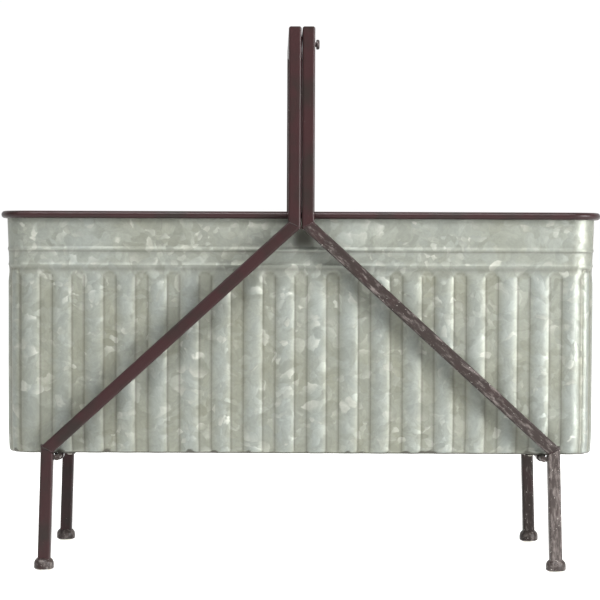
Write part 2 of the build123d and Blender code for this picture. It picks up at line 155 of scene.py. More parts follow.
class PlanterStage(bpy.types.PropertyGroup):
    eye: FloatVectorProperty(name="Camera", description="Where the camera stands",
                             default=(-0.028, -2.267, 0.317), subtype="TRANSLATION")
    lens: FloatProperty(name="Lens", description="Focal length in millimetres", default=129.0)
    down: FloatProperty(name="Tilt", description="How far the camera looks down",
                        default=math.radians(1.2), subtype="ANGLE")
    shift: FloatProperty(name="Shift", default=0.045,
                         description="How far the lens is shifted to the right, in frames")
    roll: FloatProperty(name="Roll", description="How far the camera leans",
                        default=math.radians(0.22), subtype="ANGLE")
    key: FloatProperty(name="Key light", description="Power of the light low on the right",
                       default=94, unit="POWER")
    edge: FloatProperty(name="Edge light", description="Power of the light high on the left",
                        default=22, unit="POWER")
    top: FloatProperty(name="Top light", description="Power of the light high in front",
                       default=66, unit="POWER")


# ---------------------------------------------------------------- helpers for modelling
def clear():
    """Object mode with nothing selected, as every new piece needs."""
    if bpy.context.object and bpy.context.object.mode != "OBJECT":
        bpy.ops.object.mode_set(mode="OBJECT")
    bpy.ops.object.select_all(action="DESELECT")


def primitive(add_primitive, name, **sizes):
    """Add a primitive with nothing else selected, and name it."""
    clear()
    add_primitive(**sizes)
    piece = bpy.context.object
    piece.name = piece.data.name = name
    return piece


def focus(piece):
    """Make one piece the active and only selected one."""
    clear()
    bpy.context.view_layer.objects.active = piece
    piece.select_set(True)


def pick(piece, kind, test):
    """Enter edit mode with only the faces, edges or vertices selected that pass the test."""
    focus(piece)
    bpy.ops.object.mode_set(mode="EDIT")
    bpy.ops.mesh.select_mode(type=kind)
    bpy.ops.mesh.select_all(action="DESELECT")
    bpy.ops.object.mode_set(mode="OBJECT")
    mesh = piece.data
    group = {"VERT": mesh.vertices, "EDGE": mesh.edges, "FACE": mesh.polygons}[kind]
    for part in group:
        part.select = bool(test(part))
    bpy.ops.object.mode_set(mode="EDIT")


def whole(piece):
    """Enter edit mode with all of the piece selected."""
    focus(piece)
    bpy.ops.object.mode_set(mode="EDIT")
    bpy.ops.mesh.select_all(action="SELECT")


def modify(piece, kind, **settings):
    """Add one modifier and apply it."""
    focus(piece)
    modifier = piece.modifiers.new(kind.title(), kind)
    for key, value in settings.items():
        setattr(modifier, key, value)
    bpy.ops.object.modifier_apply(modifier=modifier.name)


def settle(piece):
    """Put the piece's place into its mesh, so that its object sits at the origin."""
    focus(piece)
    bpy.ops.object.transform_apply(location=True, rotation=True, scale=True)


def twin(piece, name, move=(0, 0, 0)):
    """Copy a piece with its own mesh, and move the copy."""
    copy = piece.copy()
    copy.data = piece.data.copy()
    copy.name = copy.data.name = name
    bpy.context.scene.collection.objects.link(copy)
    copy.data.transform(Matrix.Translation(move))
    return copy


def joined(pieces, name):
    """Join several pieces into one."""
    clear()
    for piece in pieces:
        piece.select_set(True)
    bpy.context.view_layer.objects.active = pieces[0]
    bpy.ops.object.join()
    pieces[0].name = pieces[0].data.name = name
    return pieces[0]


def dress(piece, body, slot, *nodes, smooth):
    """Shade a finished piece, give it the material for its slot and its body, and hide the nodes that
    it stands for.
    """
    focus(piece)
    bpy.ops.object.shade_smooth_by_angle(angle=math.radians(smooth))
    piece.data.materials.clear()
    piece.data.materials.append(finish(SLOT_FINISH[slot]))
    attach(piece, body)
    if nodes:
        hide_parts(*nodes)


def mark(piece, name, values, kind="FLOAT", field="value"):
    """Store numbers for each vertex, for the material to read."""
    attributes = piece.data.attributes
    attribute = attributes.get(name) or attributes.new(name, kind, "POINT")
    attribute.data.foreach_set(field, np.asarray(values, np.float32).ravel())


def mark_paint(piece, wear, edge, run=None):
    """Store how rubbed the paint is, where its edges are, and places drawn out along a run."""
    co = points_of(piece)
    mark(piece, "wear", np.zeros(len(co)) + wear)
    mark(piece, "edge", np.zeros(len(co)) + edge)
    mark_grain(piece, run)


def mark_grain(piece, run=None):
    """Store places drawn out along a run, for streaks that follow it."""
    co = points_of(piece)
    if run is not None:
        co = co - 0.72 * np.outer(co @ np.array(run), np.array(run))
    mark(piece, "grain", co, "FLOAT_VECTOR", "vector")


def points_of(piece):
    """The vertices of a piece as rows of numbers."""
    co = np.empty(len(piece.data.vertices) * 3)
    piece.data.vertices.foreach_get("co", co)
    return co.reshape(-1, 3)


def put_points(piece, co):
    """Move the vertices of a piece to these rows of numbers."""
    piece.data.vertices.foreach_set("co", np.asarray(co, float).ravel())
    piece.data.update()


def spun(name, profile, centre, axis="Z", steps=40):
    """Turn a closed profile of (radius, height) pairs round an axis through the centre."""
    ring = primitive(bpy.ops.mesh.primitive_circle_add, name, vertices=len(profile), radius=1)
    for vertex, (radius, height) in zip(ring.data.vertices, profile):
        vertex.co = (radius, 0, height) if axis == "Z" else (height, radius, 0)
        vertex.co += Vector(centre)
    whole(ring)
    bpy.ops.mesh.spin(steps=steps, angle=2 * math.pi, center=centre,
                      axis=(0, 0, 1) if axis == "Z" else (1, 0, 0))
    bpy.ops.mesh.select_all(action="SELECT")
    bpy.ops.mesh.remove_doubles(threshold=2e-6)
    bpy.ops.mesh.normals_make_consistent(inside=False)
    bpy.ops.object.mode_set(mode="OBJECT")
    return ring


def ring_along(name, places, outwards, up, radius, sides, ripple=0.0, ripples=0):
    """Lay a torus along a closed line, with its tube's outer side along `outwards`. Its radius
    may swell and shrink by the share `ripple`, as often as `ripples` says."""
    count = len(places)
    ring = primitive(bpy.ops.mesh.primitive_torus_add, name, major_segments=count,
                     minor_segments=sides, major_radius=1, minor_radius=0.1)
    co = points_of(ring)
    turn = np.round(np.arctan2(co[:, 1], co[:, 0]) / (2 * np.pi) * count).astype(int) % count
    out = (np.hypot(co[:, 0], co[:, 1]) - 1) / 0.1
    rise = co[:, 2] / 0.1
    size = radius * (1 + ripple * np.cos(turn * 2 * np.pi * ripples / count))
    put_points(ring, places[turn] + outwards[turn] * (out * size)[:, None]
               + np.asarray(up)[None, :] * (rise * size)[:, None])
    whole(ring)
    bpy.ops.mesh.normals_make_consistent(inside=False)
    bpy.ops.object.mode_set(mode="OBJECT")
    return ring


def smooth_step(low, high, value):
    """0 below `low`, 1 above `high`, and a soft S between them."""
    t = np.clip((value - low) / (high - low), 0, 1)
    return t * t * (3 - 2 * t)


def hump(distance, reach, power=2):
    """1 at no distance, falling off softly to nothing past `reach`."""
    return np.exp(-(distance / reach) ** power)


def unevenness(co, size, seed=0.0):
    """Slow, repeatable unevenness from -1 to 1, `size` metres from hill to hill."""
    return np.array([noise.noise(Vector(p) / size + Vector((seed, seed, seed))) for p in co])


# ---------------------------------------------------------------- helpers for materials
def linear(hex_value):
    """Linear colour of an sRGB hex value."""
    parts = [int(hex_value[i:i + 2], 16) / 255 for i in (0, 2, 4)]
    return tuple(c / 12.92 if c <= 0.04045 else ((c + 0.055) / 1.055) ** 2.4 for c in parts) + (1,)


def add(tree, kind, inputs=None, **settings):
    """Add one shader node: its own settings, then its sockets as values, as links from another
    node's socket, or as links from the first output of a node."""
    node = tree.nodes.new("ShaderNode" + kind)
    for key, value in settings.items():
        setattr(node, key, value)
    for key, value in (inputs or {}).items():
        if isinstance(value, bpy.types.Node):
            value = value.outputs[0]
        if isinstance(value, bpy.types.NodeSocket):
            tree.links.new(value, node.inputs[key])
        else:
            node.inputs[key].default_value = value
    return node


def finish(name):
    """The named material, made the first time that a piece asks for it."""
    material = bpy.data.materials.get(name)
    if material:
        return material
    material = bpy.data.materials.new(name)
    material.use_nodes = True
    tree = material.node_tree
    tree.nodes.clear()
    place = add(tree, "TexCoord").outputs["Object"]
    surface = add(tree, "BsdfPrincipled", FINISHES[name](tree, place, bpy.context.scene.planter_finish))
    add(tree, "OutputMaterial", {"Surface": surface})
    return material


def galvanised_sheet(tree, place, look):
    """Hot-dip galvanised steel, weathered to a soft sheen: feathery crystals 7 to 12 mm across,
    each tilted its own way so that it breaks up the highlights, olive in the sheltered ground
    and blue grey on the crests, with painted shade in the folds, at the hem and behind the frame's
    joint."""
    # Crystals grow with curved, feathery fronts: bent by about 6 mm over 30 mm.
    bend = add(tree, "TexNoise", {"Vector": place, "Scale": 1 / 0.030, "Detail": 4.0, "Roughness": 0.5})
    centred = add(tree, "VectorMath", {0: bend.outputs["Color"], 1: (0.5, 0.5, 0.5)},
                  operation="SUBTRACT")
    shift = add(tree, "VectorMath", {0: centred, "Scale": 0.032}, operation="SCALE")
    bent = add(tree, "VectorMath", {0: place, 1: shift}, operation="ADD")
    large = add(tree, "TexVoronoi", {"Vector": bent, "Scale": 1 / 0.012, "Smoothness": 0.3},
                feature="SMOOTH_F1")
    small = add(tree, "TexVoronoi", {"Vector": bent, "Scale": 1 / 0.007, "Smoothness": 0.3},
                feature="SMOOTH_F1")
    grown = add(tree, "TexNoise", {"Vector": place, "Scale": 1 / 0.045, "Detail": 1.0})
    which = add(tree, "MapRange", {"Value": grown, "From Min": 0.47, "From Max": 0.51})
    crystal = add(tree, "Mix", {0: which, 6: large.outputs["Color"],
                                7: small.outputs["Color"]}, data_type="RGBA").outputs[2]
    heart = add(tree, "Mix", {0: which, 4: large.outputs["Position"],
                              5: small.outputs["Position"]}, data_type="VECTOR").outputs[1]
    lean = add(tree, "VectorMath", {0: crystal, 1: (0.5, 0.5, 0.5)}, operation="SUBTRACT")
    from_heart = add(tree, "VectorMath", {0: bent, 1: heart}, operation="SUBTRACT")
    across = add(tree, "VectorMath", {0: from_heart, 1: lean}, operation="DOT_PRODUCT").outputs["Value"]
    grade = add(tree, "Math", {0: across, 1: 1 / 0.008}, operation="MULTIPLY")
    part = add(tree, "SeparateColor", {0: crystal})
    # Pressed crests weather cooler and paler than the sheltered ground between them.
    crest = add(tree, "Attribute", attribute_name="crest", attribute_type="GEOMETRY").outputs["Fac"]
    haze = add(tree, "TexNoise", {"Vector": place, "Scale": 1 / 0.075, "Detail": 2.0})
    cool_a = add(tree, "Math", {0: part, 1: 0.22, 2: -0.30}, operation="MULTIPLY_ADD")
    cool_b = add(tree, "Math", {0: crest, 1: 0.55, 2: cool_a}, operation="MULTIPLY_ADD")
    cool = add(tree, "Math", {0: haze, 1: 1.0, 2: cool_b}, operation="MULTIPLY_ADD", use_clamp=True)
    hue = add(tree, "Mix", {0: cool, 6: linear(look.zinc_olive), 7: linear(look.zinc_blue)},
              data_type="RGBA").outputs[2]
    glow_a = add(tree, "Math", {0: grade, 1: 0.55, 2: part.outputs[1]}, operation="MULTIPLY_ADD")
    glow = add(tree, "MapRange", {"Value": glow_a, "From Min": 0.60, "From Max": 1.35,
                                  "To Max": 0.75}, interpolation_type="SMOOTHSTEP")
    tone = add(tree, "Mix", {0: glow, 6: hue, 7: linear(look.zinc_pale)}, data_type="RGBA").outputs[2]
    shade_a = add(tree, "Math", {0: grade, 1: 0.45, 2: part.outputs[2]}, operation="MULTIPLY_ADD")
    shade_b = add(tree, "MapRange", {"Value": shade_a, "From Min": -0.3,
                                     "From Max": 1.3, "To Min": 0.84, "To Max": 1.10})
    # Frosting inside a crystal, 3 mm from grain to grain.
    frost = add(tree, "TexNoise", {"Vector": bent, "Scale": 1 / 0.0030, "Detail": 3.0})
    frosted = add(tree, "MapRange", {"Value": frost, "From Min": 0.3, "From Max": 0.7,
                                     "To Min": 0.92, "To Max": 1.06})
    level = add(tree, "Math", {0: shade_b, 1: frosted}, operation="MULTIPLY")
    clean = add(tree, "VectorMath", {0: tone, "Scale": level}, operation="SCALE")
    # Painted shade: the fold mark pulls the sheet towards the shade colour in its creases, under the
    # bead, belt and rim, at the hem and behind the frame's joint.
    fold = add(tree, "Attribute", attribute_name="fold", attribute_type="GEOMETRY").outputs["Fac"]
    colour = add(tree, "Mix", {0: fold, 6: clean, 7: linear(look.zinc_painted_shade)},
                 data_type="RGBA").outputs[2]
    rough = add(tree, "MapRange", {"Value": part.outputs[1], "To Min": 0.44, "To Max": 0.58})
    # Each crystal's face leans by up to 4 degrees, and bows a little from edge to edge.
    bowed = add(tree, "VectorMath", {0: from_heart, "Scale": 5.0}, operation="SCALE")
    leaning = add(tree, "VectorMath", {0: lean, 1: (0.15, 0.15, 0.15), 2: bowed},
                  operation="MULTIPLY_ADD")
    flat = add(tree, "NewGeometry").outputs["Normal"]
    tilted = add(tree, "VectorMath", {0: flat, 1: leaning}, operation="ADD")
    facing = add(tree, "VectorMath", {0: tilted}, operation="NORMALIZE")
    grain = add(tree, "Bump", {"Height": frost, "Strength": 0.12, "Distance": 0.0004, "Normal": facing})
    return {"Base Color": colour, "Metallic": 0.52, "Roughness": rough, "Normal": grain}


def bronze_paint(tree, place, look):
    """Sprayed bronze enamel on steel tube: reddish brown with darker, browner clouds,
    rubbed to its grey base and chipped to bare specks where the bar is worn."""
    wear = add(tree, "Attribute", attribute_name="wear", attribute_type="GEOMETRY").outputs["Fac"]
    edge = add(tree, "Attribute", attribute_name="edge", attribute_type="GEOMETRY").outputs["Fac"]
    clouds = add(tree, "TexNoise", {"Vector": place, "Scale": 1 / 0.028, "Detail": 3.0})
    faded = add(tree, "Math", {0: wear, 1: 0.34, 2: clouds}, operation="MULTIPLY_ADD")
    cloudy = add(tree, "MapRange", {"Value": faded, "From Min": 0.46, "From Max": 0.70})
    coat = add(tree, "Mix", {0: cloudy, 6: linear(look.bronze),
                             7: linear(look.bronze_dark)}, data_type="RGBA").outputs[2]
    # Rubbed streaks 3 mm across and some 10 mm long, and specks up to 1 mm across.
    grain = add(tree, "Attribute", attribute_name="grain", attribute_type="GEOMETRY").outputs["Vector"]
    patch = add(tree, "TexNoise", {"Vector": grain, "Scale": 1 / 0.0030, "Detail": 4.0,
                                   "Roughness": 0.65})
    patch_worn = add(tree, "Math", {0: wear, 1: 0.32, 2: patch}, operation="MULTIPLY_ADD")
    # Only the most worn bars are dulled all over.
    most_worn = add(tree, "Math", {0: wear, 1: 6.0}, operation="POWER")
    dulled = add(tree, "Math", {0: most_worn, 1: 0.24}, operation="MULTIPLY", use_clamp=True)
    rubbed = add(tree, "MapRange", {"Value": patch_worn, "From Min": 0.74, "From Max": 1.02,
                                    "To Min": dulled}, interpolation_type="SMOOTHSTEP")
    grey = add(tree, "Mix", {0: rubbed, 6: coat, 7: linear(look.bronze_worn)},
               data_type="RGBA").outputs[2]
    dots = add(tree, "TexNoise", {"Vector": place, "Scale": 1 / 0.0022, "Detail": 2.0,
                                  "Roughness": 0.7})
    at_edge = add(tree, "Math", {0: edge, 1: 0.035, 2: dots}, operation="MULTIPLY_ADD")
    dotted = add(tree, "Math", {0: wear, 1: 0.10, 2: at_edge}, operation="MULTIPLY_ADD")
    chips = add(tree, "MapRange", {"Value": dotted, "From Min": 0.76,
                                   "From Max": 0.86}, interpolation_type="SMOOTHSTEP")
    colour = add(tree, "Mix", {0: chips, 6: grey, 7: linear(look.speck)}, data_type="RGBA").outputs[2]
    rough = add(tree, "MapRange", {"Value": rubbed, "To Min": 0.36, "To Max": 0.55})
    # Spray texture 1.5 mm from hill to hill, drawn coarser than real so that it shows.
    peel = add(tree, "TexNoise", {"Vector": place, "Scale": 1 / 0.0015, "Detail": 1.0})
    relief = add(tree, "Math", {0: rubbed, 1: -0.5, 2: peel}, operation="MULTIPLY_ADD")
    bump = add(tree, "Bump", {"Height": relief, "Strength": 0.16, "Distance": 0.0003})
    return {"Base Color": colour, "Roughness": rough, "Specular IOR Level": 0.22, "Normal": bump}


def zinc_plating(tree, place, look):
    """Bright zinc-plated steel: pale, faintly yellow in patches, with fine drawn scratches."""
    clouds = add(tree, "TexNoise", {"Vector": place, "Scale": 1 / 0.009, "Detail": 3.0})
    toned = add(tree, "Mix", {0: clouds, 6: linear(look.plating), 7: linear("8C8878")},
                data_type="RGBA").outputs[2]
    drawn = add(tree, "Mapping", {"Vector": place, "Scale": (1, 0.06, 1)})
    lines = add(tree, "TexNoise", {"Vector": drawn, "Scale": 1 / 0.0008, "Detail": 2.0})
    rough = add(tree, "MapRange", {"Value": clouds, "To Min": 0.28, "To Max": 0.48})
    bump = add(tree, "Bump", {"Height": lines, "Strength": 0.15, "Distance": 0.0002})
    return {"Base Color": toned, "Metallic": 1.0, "Roughness": rough, "Normal": bump}


def blackened_steel(tree, place, look):
    """Turned steel blackened in oil: near black, satin, with faint rings from turning."""
    clouds = add(tree, "TexNoise", {"Vector": place, "Scale": 1 / 0.004, "Detail": 3.0})
    toned = add(tree, "Mix", {0: clouds, 6: linear(look.blackened), 7: linear("4A403F")},
                data_type="RGBA").outputs[2]
    rough = add(tree, "MapRange", {"Value": clouds, "To Min": 0.35, "To Max": 0.55})
    rings = add(tree, "TexWave", {"Vector": place, "Scale": 1 / 0.003, "Distortion": 0.6})
    bump = add(tree, "Bump", {"Height": rings.outputs["Fac"], "Strength": 0.10, "Distance": 0.0001})
    return {"Base Color": toned, "Metallic": 0.5, "Roughness": rough, "Normal": bump}


def moulded_nylon(tree, place, look):
    """Injection-moulded nylon glide: milky white, waxy, dirtied towards the floor."""
    dirt = add(tree, "TexNoise", {"Vector": place, "Scale": 1 / 0.005, "Detail": 4.0})
    dark_patch = add(tree, "MapRange", {"Value": dirt, "From Min": 0.5, "From Max": 0.75, "To Max": 0.5})
    toned = add(tree, "Mix", {0: dark_patch, 6: linear(look.nylon), 7: linear("A9A296")},
                data_type="RGBA").outputs[2]
    bump = add(tree, "Bump", {"Height": dirt, "Strength": 0.1, "Distance": 0.0003})
    return {"Base Color": toned, "Roughness": 0.42, "Subsurface Weight": 0.15, "Normal": bump}


def studio_floor(tree, place, look):
    """White studio table, plain, with a faint grain: it glows round the planter with painted light,
    which washes out the shadows on it.
    """
    grain = add(tree, "TexNoise", {"Vector": place, "Scale": 1 / 0.012, "Detail": 2.0})
    toned = add(tree, "Mix", {0: grain, 6: linear("D6D6D4"), 7: linear("D0D0CE")},
                data_type="RGBA").outputs[2]
    # The glow is painted light. It leaves out a patch in front, which the lamps light: the patch begins
    # 0.33 to
    # 0.8 m in front of the planter's middle and ends 1.4 to 2.8 m away from it.
    depth = add(tree, "SeparateXYZ", {0: place}).outputs[1]
    under = add(tree, "MapRange", {"Value": depth, "From Min": -0.8, "From Max": -0.33,
                                   "To Max": 0.8}, interpolation_type="SMOOTHSTEP")
    far = add(tree, "VectorMath", {0: place}, operation="LENGTH").outputs["Value"]
    painted_floor_glow = add(tree, "MapRange", {"Value": far, "From Min": 1.4, "From Max": 2.8, "To Min": under,
                                  "To Max": 0.8}, interpolation_type="SMOOTHSTEP")
    return {"Base Color": toned, "Roughness": 0.9, "Specular IOR Level": 0.1,
            "Emission Color": (1, 1, 1, 1), "Emission Strength": painted_floor_glow}


# Each material and the function that gives its surface.
FINISHES = {
    "hot_dip_galvanised_spangle": galvanised_sheet,
    "sprayed_bronze_enamel": bronze_paint,
    "bright_zinc_plating": zinc_plating,
    "oil_blackened_turned_steel": blackened_steel,
    "moulded_nylon_glide": moulded_nylon,
    "white_floor_painted_glow": studio_floor,
}


# ---------------------------------------------------------------- the tub's outline
class Outline:
    """The tub's outline, walked from the middle of the front towards +X."""

    def __init__(self):
        sizes = bpy.context.scene.planter_tub
        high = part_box("top_rim")[1]
        self.rim_top = high.z
        self.radius = sizes.corner - sizes.recess
        self.long = high.x - sizes.rim_out - sizes.corner
        self.short = high.y - sizes.rim_out - sizes.corner
        quarter = math.pi * self.radius / 2
        self.runs = [self.long, quarter, 2 * self.short, quarter, 2 * self.long,
                     quarter, 2 * self.short, quarter, self.long]
        self.marks = list(np.cumsum(self.runs[:-1]))
        self.total = sum(self.runs)
        self.half = self.long + quarter + self.short

    def at(self, s):
        """Point on the outline at a distance along it, and the direction outwards."""
        s = s % self.total
        index = 0
        while s > self.runs[index] and index < len(self.runs) - 1:
            s -= self.runs[index]
            index += 1
        heading = (index // 2) * math.pi / 2
        centres = [(self.long, -self.short), (self.long, self.short),
                   (-self.long, self.short), (-self.long, -self.short)]
        if index % 2:
            turn = heading + s / self.radius
            x, y = centres[index // 2]
        else:
            turn = heading
            x, y = (s, -self.short) if index == 0 else centres[(index // 2 - 1) % 4]
            if index:
                x, y = x + s * math.cos(heading), y + s * math.sin(heading)
        out = (math.sin(turn), -math.cos(turn))
        return (x + self.radius * out[0], y + self.radius * out[1]), out

    def walk(self, stops):
        """Points on the outline and directions outwards at several distances, as rows."""
        found = [self.at(s) for s in stops]
        return np.array([point for point, _ in found]), np.array([out for _, out in found])

    def lean_ends(self, co, line):
        """Lean the ends in towards the bottom, with the long sides following in proportion."""
        reach = np.clip(np.abs(line[:, 0]) / self.long, 0, 1)
        co[:, 0] -= np.sign(co[:, 0]) * end_lean(co[:, 2]) * reach

    def ribs(self):
        """Middle, half width and whether it lies on a corner, for each pressed rib."""
        sizes = bpy.context.scene.planter_tub
        marks, found = self.marks, []
        middles = [0, (marks[1] + marks[2]) / 2, (marks[3] + marks[4]) / 2, (marks[5] + marks[6]) / 2]
        for k, middle in enumerate(middles):
            count, pitch = ((sizes.side_ribs, sizes.rib_pitch) if k % 2 == 0
                            else (sizes.end_ribs, sizes.rib_pitch_end))
            first = middle - (count - 1) / 2 * pitch
            found += [((first + i * pitch) % self.total, sizes.rib_width / 2, False)
                      for i in range(count)]
        found += [((marks[k] + marks[k + 1]) / 2, sizes.corner_rib / 2, True) for k in (0, 2, 4, 6)]
        return sorted(found)


def wall_columns(outline, start, end):
    """Distances for the wall's columns: close together over ribs, wider between them."""
    stops = [start, end]
    for middle, half, _ in outline.ribs():
        for lap in (-outline.total, 0, outline.total):
            stops += [s for s in np.linspace(middle + lap - half, middle + lap + half, 15)
                      if start < s < end]
    stops = sorted(stops)
    filled = [stops[0]]
    for stop in stops[1:]:
        gap = stop - filled[-1]
        if gap < 0.2 * MM:
            continue
        steps = max(1, math.ceil(gap / (2.6 * MM)))
        filled += [filled[-1] + gap * k / steps for k in range(1, steps)] + [stop]
    filled[-1] = end
    return np.array(filled)


def wall_rows(rim_top):
    """Heights for the wall's rows: close together at the hem, the rib tops, the belt and the bead."""
    # In order: hem, plain ribs, rib tops with the belt, the strip above it, bead, plain band.
    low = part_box("tub_base")[0].z + 0.1 * MM
    rows = [low + h * MM for h in (0, 0.35, 0.8, 1.3, 1.9, 2.7, 3.6, 5.0, 8.0)]
    rows += list(np.arange(rows[-1] + 8.5 * MM, rim_top - 76 * MM, 8.5 * MM))
    rows += list(np.arange(rim_top - 75 * MM, rim_top - 49.5 * MM, 0.95 * MM))
    rows += list(np.arange(rim_top - 48.2 * MM, rim_top - 42.5 * MM, 2.2 * MM))
    rows += list(np.linspace(rim_top - 41.9 * MM, rim_top - 34.9 * MM, 15))
    rows += list(np.linspace(rim_top - 33 * MM, rim_top - 5.9 * MM, 10))
    return np.array(rows)


def hem_tuck(heights, low):
    """How far the foot of the wall turns in under the tub at each height."""
    radius = bpy.context.scene.planter_tub.hem
    below = np.clip(low + radius - heights, 0, None)
    return 0.75 * (radius - np.sqrt(np.clip(radius ** 2 - below ** 2, 0, None)))


def pressed(outline, columns, rows):
    """How far the sheet stands out from the ground, how much it is a crest, and where it is darkened by
    painted shade.
    """
    sizes = bpy.context.scene.planter_tub
    s = columns[None, :]
    z = rows[:, None]
    drop = outline.rim_top - z
    near = np.full(columns.shape, 1e9)
    half = np.zeros(columns.shape)
    corner = np.zeros(columns.shape, bool)
    for middle, width, is_corner in outline.ribs():
        away = np.abs((columns - middle + outline.total / 2) % outline.total - outline.total / 2)
        closer = away - width < near - half
        near, half, corner = (np.where(closer, away, near), np.where(closer, width, half),
                              np.where(closer, is_corner, corner))
    # Rounded upper end of the corner ribs: their distance grows past the end's centre.
    end_centre = sizes.belt_drop + 3.2 * MM + half
    past = np.clip(end_centre[None, :] - drop, 0, None) * corner[None, :]
    away = np.sqrt(near[None, :] ** 2 + past ** 2)
    rise = sizes.rib_rise * np.where(corner, 0.95, 1.0)[None, :]
    bow = (half[None, :] ** 2 + rise ** 2) / (2 * rise)
    domed = np.sqrt(np.clip(bow ** 2 - away ** 2, 0, None)) - bow + rise
    crest = np.where(away < half[None, :], domed, 0)
    # Ribs melt into the skirt under the belt; the ground between them ends in an arch.
    inside = np.clip(1 - (near / half) ** 2, 0, 1) * (near < half)
    valley_half, arch_height = 6.3 * MM, 4.6 * MM
    valley = np.clip((near - half) / valley_half, 0, 1)
    arch = arch_height * (np.sqrt(np.clip(1 - (1 - valley) ** 2, 0, 1)) - 1)
    begins = sizes.belt_drop + np.where(near < half, 7.6 - 3.2 * inside, 3.0 - arch / MM) * MM
    ends = sizes.belt_drop + np.where(near < half, 11.8 + 6.5 * inside, 7.2 - arch / MM) * MM
    # The corner ribs stand free of the skirt, so that their rounded tops show.
    free = corner * (1 - valley)
    begins = begins + (sizes.belt_drop + 1.2 * MM - begins) * free
    ends = ends + (sizes.belt_drop + 4.2 * MM - ends) * free
    ribbed = smooth_step(0, 1, (drop - begins[None, :]) / (ends - begins)[None, :])
    skirt = np.interp(drop[:, 0] - sizes.belt_drop, np.array([-5.2, -2.4, -0.6, 0.4, 1.9, 4, 8]) * MM,
                      np.array([0, 0.38, 1, 0.92, 0.35, -0.02, -0.16]) * sizes.belt_rise)[:, None]
    shape = (skirt + sizes.recess) * (1 - ribbed) + crest * ribbed
    # Bead under the rim: it swells out slowly from above and falls back quickly below.
    from_bead = drop - sizes.bead_drop
    bead_half = sizes.bead_height / 2
    reach = np.where(from_bead < 0, 1.2, 0.8) * bead_half
    shape = shape + sizes.bead_rise * np.cos(np.clip(from_bead / reach, -1, 1) * np.pi / 2) ** 2
    # The foot of the wall turns in under the tub, and is nipped in places up to 4 mm high.
    low = rows[0]
    nip_top = low + 4 * MM
    nips = [max(0.0, noise.noise(Vector((c / (9 * MM), 3.7, 0))) - 0.22) for c in columns]
    nips = np.array(nips)[None, :]
    nipped = nips * 3 * MM * smooth_step(0, 1, (nip_top - z) / (nip_top - low))
    shape = shape - hem_tuck(z, low) - nipped
    mark_crest = ribbed * np.clip(crest / sizes.rib_rise, 0, 1) + (1 - ribbed) * 0.55
    # Painted shade: the sheet is darkened under the bead, the belt and the rim, beside each rib, in the
    # arches and at the hem, where shade falls.
    under_bead = hump(from_bead - 0.6 * bead_half, 1.1 * MM) * 0.42 + 0 * s
    under_belt = hump(drop - sizes.belt_drop - 3.6 * MM, 2.3 * MM) * 0.32 + 0 * s
    under_rim = hump(drop - 6.5 * MM, 2.4 * MM) * 0.35 + 0 * s
    beside = (hump(near - half, 0.7 * MM) * np.where(corner, 0.15, 0.42))[None, :] * ribbed
    arches = hump(drop - ends[None, :], 1.5 * MM) * (near > half)[None, :] * 0.28
    hem = (1 - smooth_step(0.7 * MM, 1.7 * MM, z - low - nips * 9 * MM)) * 0.9
    # Painted shadow: the sheet is darkened in a patch behind the joint of uprights and braces, where
    # the joint's shadow falls.
    aside = np.abs((s - 3 * MM + outline.total / 4) % (outline.total / 2) - outline.total / 4)
    dark_patch = hump(aside, 10 * MM, 4) * hump(drop - 26 * MM, 11 * MM, 4) * 0.94
    painted_shade = np.maximum.reduce([under_bead, under_belt, under_rim, beside, arches, hem, dark_patch])
    return shape, mark_crest, painted_shade


def end_lean(z):
    """How far the ends lean in at each height: most at the bottom, nothing under the rim."""
    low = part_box("tub_base")[0].z
    rises = [low, low + 20 * MM, low + 190 * MM, low + 206 * MM, low + 236 * MM]
    share = np.interp(z, rises, [1, 0.67, 0.55, 0.30, 0])
    return bpy.context.scene.planter_tub.lean * share


def wrapped_sheet(name, outline, columns, rows, stand_out, crest, fold, thickness):
    """A grid wrapped round the tub's outline, then given its thickness inwards."""
    sheet = primitive(bpy.ops.mesh.primitive_grid_add, name, size=1,
                      x_subdivisions=len(columns) - 1, y_subdivisions=len(rows) - 1)
    co = points_of(sheet)
    i = np.round((co[:, 0] + 0.5) * (len(columns) - 1)).astype(int)
    j = np.round((co[:, 1] + 0.5) * (len(rows) - 1)).astype(int)
    line, out = outline.walk(columns)
    place = line[i] + out[i] * stand_out[j, i][:, None]
    shaped = np.column_stack([place, rows[j]])
    wave = unevenness(shaped, 0.055) * 0.14 * MM + unevenness(shaped, 0.018, 4.0) * 0.05 * MM
    shaped[:, :2] += out[i] * wave[:, None]
    outline.lean_ends(shaped, line[i])
    put_points(sheet, shaped)
    modify(sheet, "SOLIDIFY", thickness=thickness, offset=-1)
    # The inner face keeps none of the painted shade of the outer one.
    mark(sheet, "crest", np.resize(crest[j, i], len(sheet.data.vertices)))
    mark(sheet, "fold", np.concatenate([fold[j, i], np.zeros(len(sheet.data.vertices) - len(j))]))
    return sheet


# ---------------------------------------------------------------- operators: the tub
class PLANTER_OT_walls(bpy.types.Operator):
    """Build the two halves of the ribbed wall"""
    bl_idname = "planter.walls"
    bl_label = "Ribbed walls"

    def execute(self, context):
        sizes = context.scene.planter_tub
        outline = Outline()
        rows = wall_rows(outline.rim_top)
        # The walls stop just under the edges of the seams.
        cut = sizes.seam / 2 - 0.3 * MM
        for face, start in (("front", -outline.half + cut), ("back", outline.half + cut)):
            columns = wall_columns(outline, start, start + 2 * (outline.half - cut))
            shape = pressed(outline, columns, rows)
            wall = wrapped_sheet(f"ribbed_wall_{face}", outline, columns, rows, *shape, sizes.sheet)
            dress(wall, "tub", GALVANISED, f"wall_{face}", smooth=17)
        return {"FINISHED"}


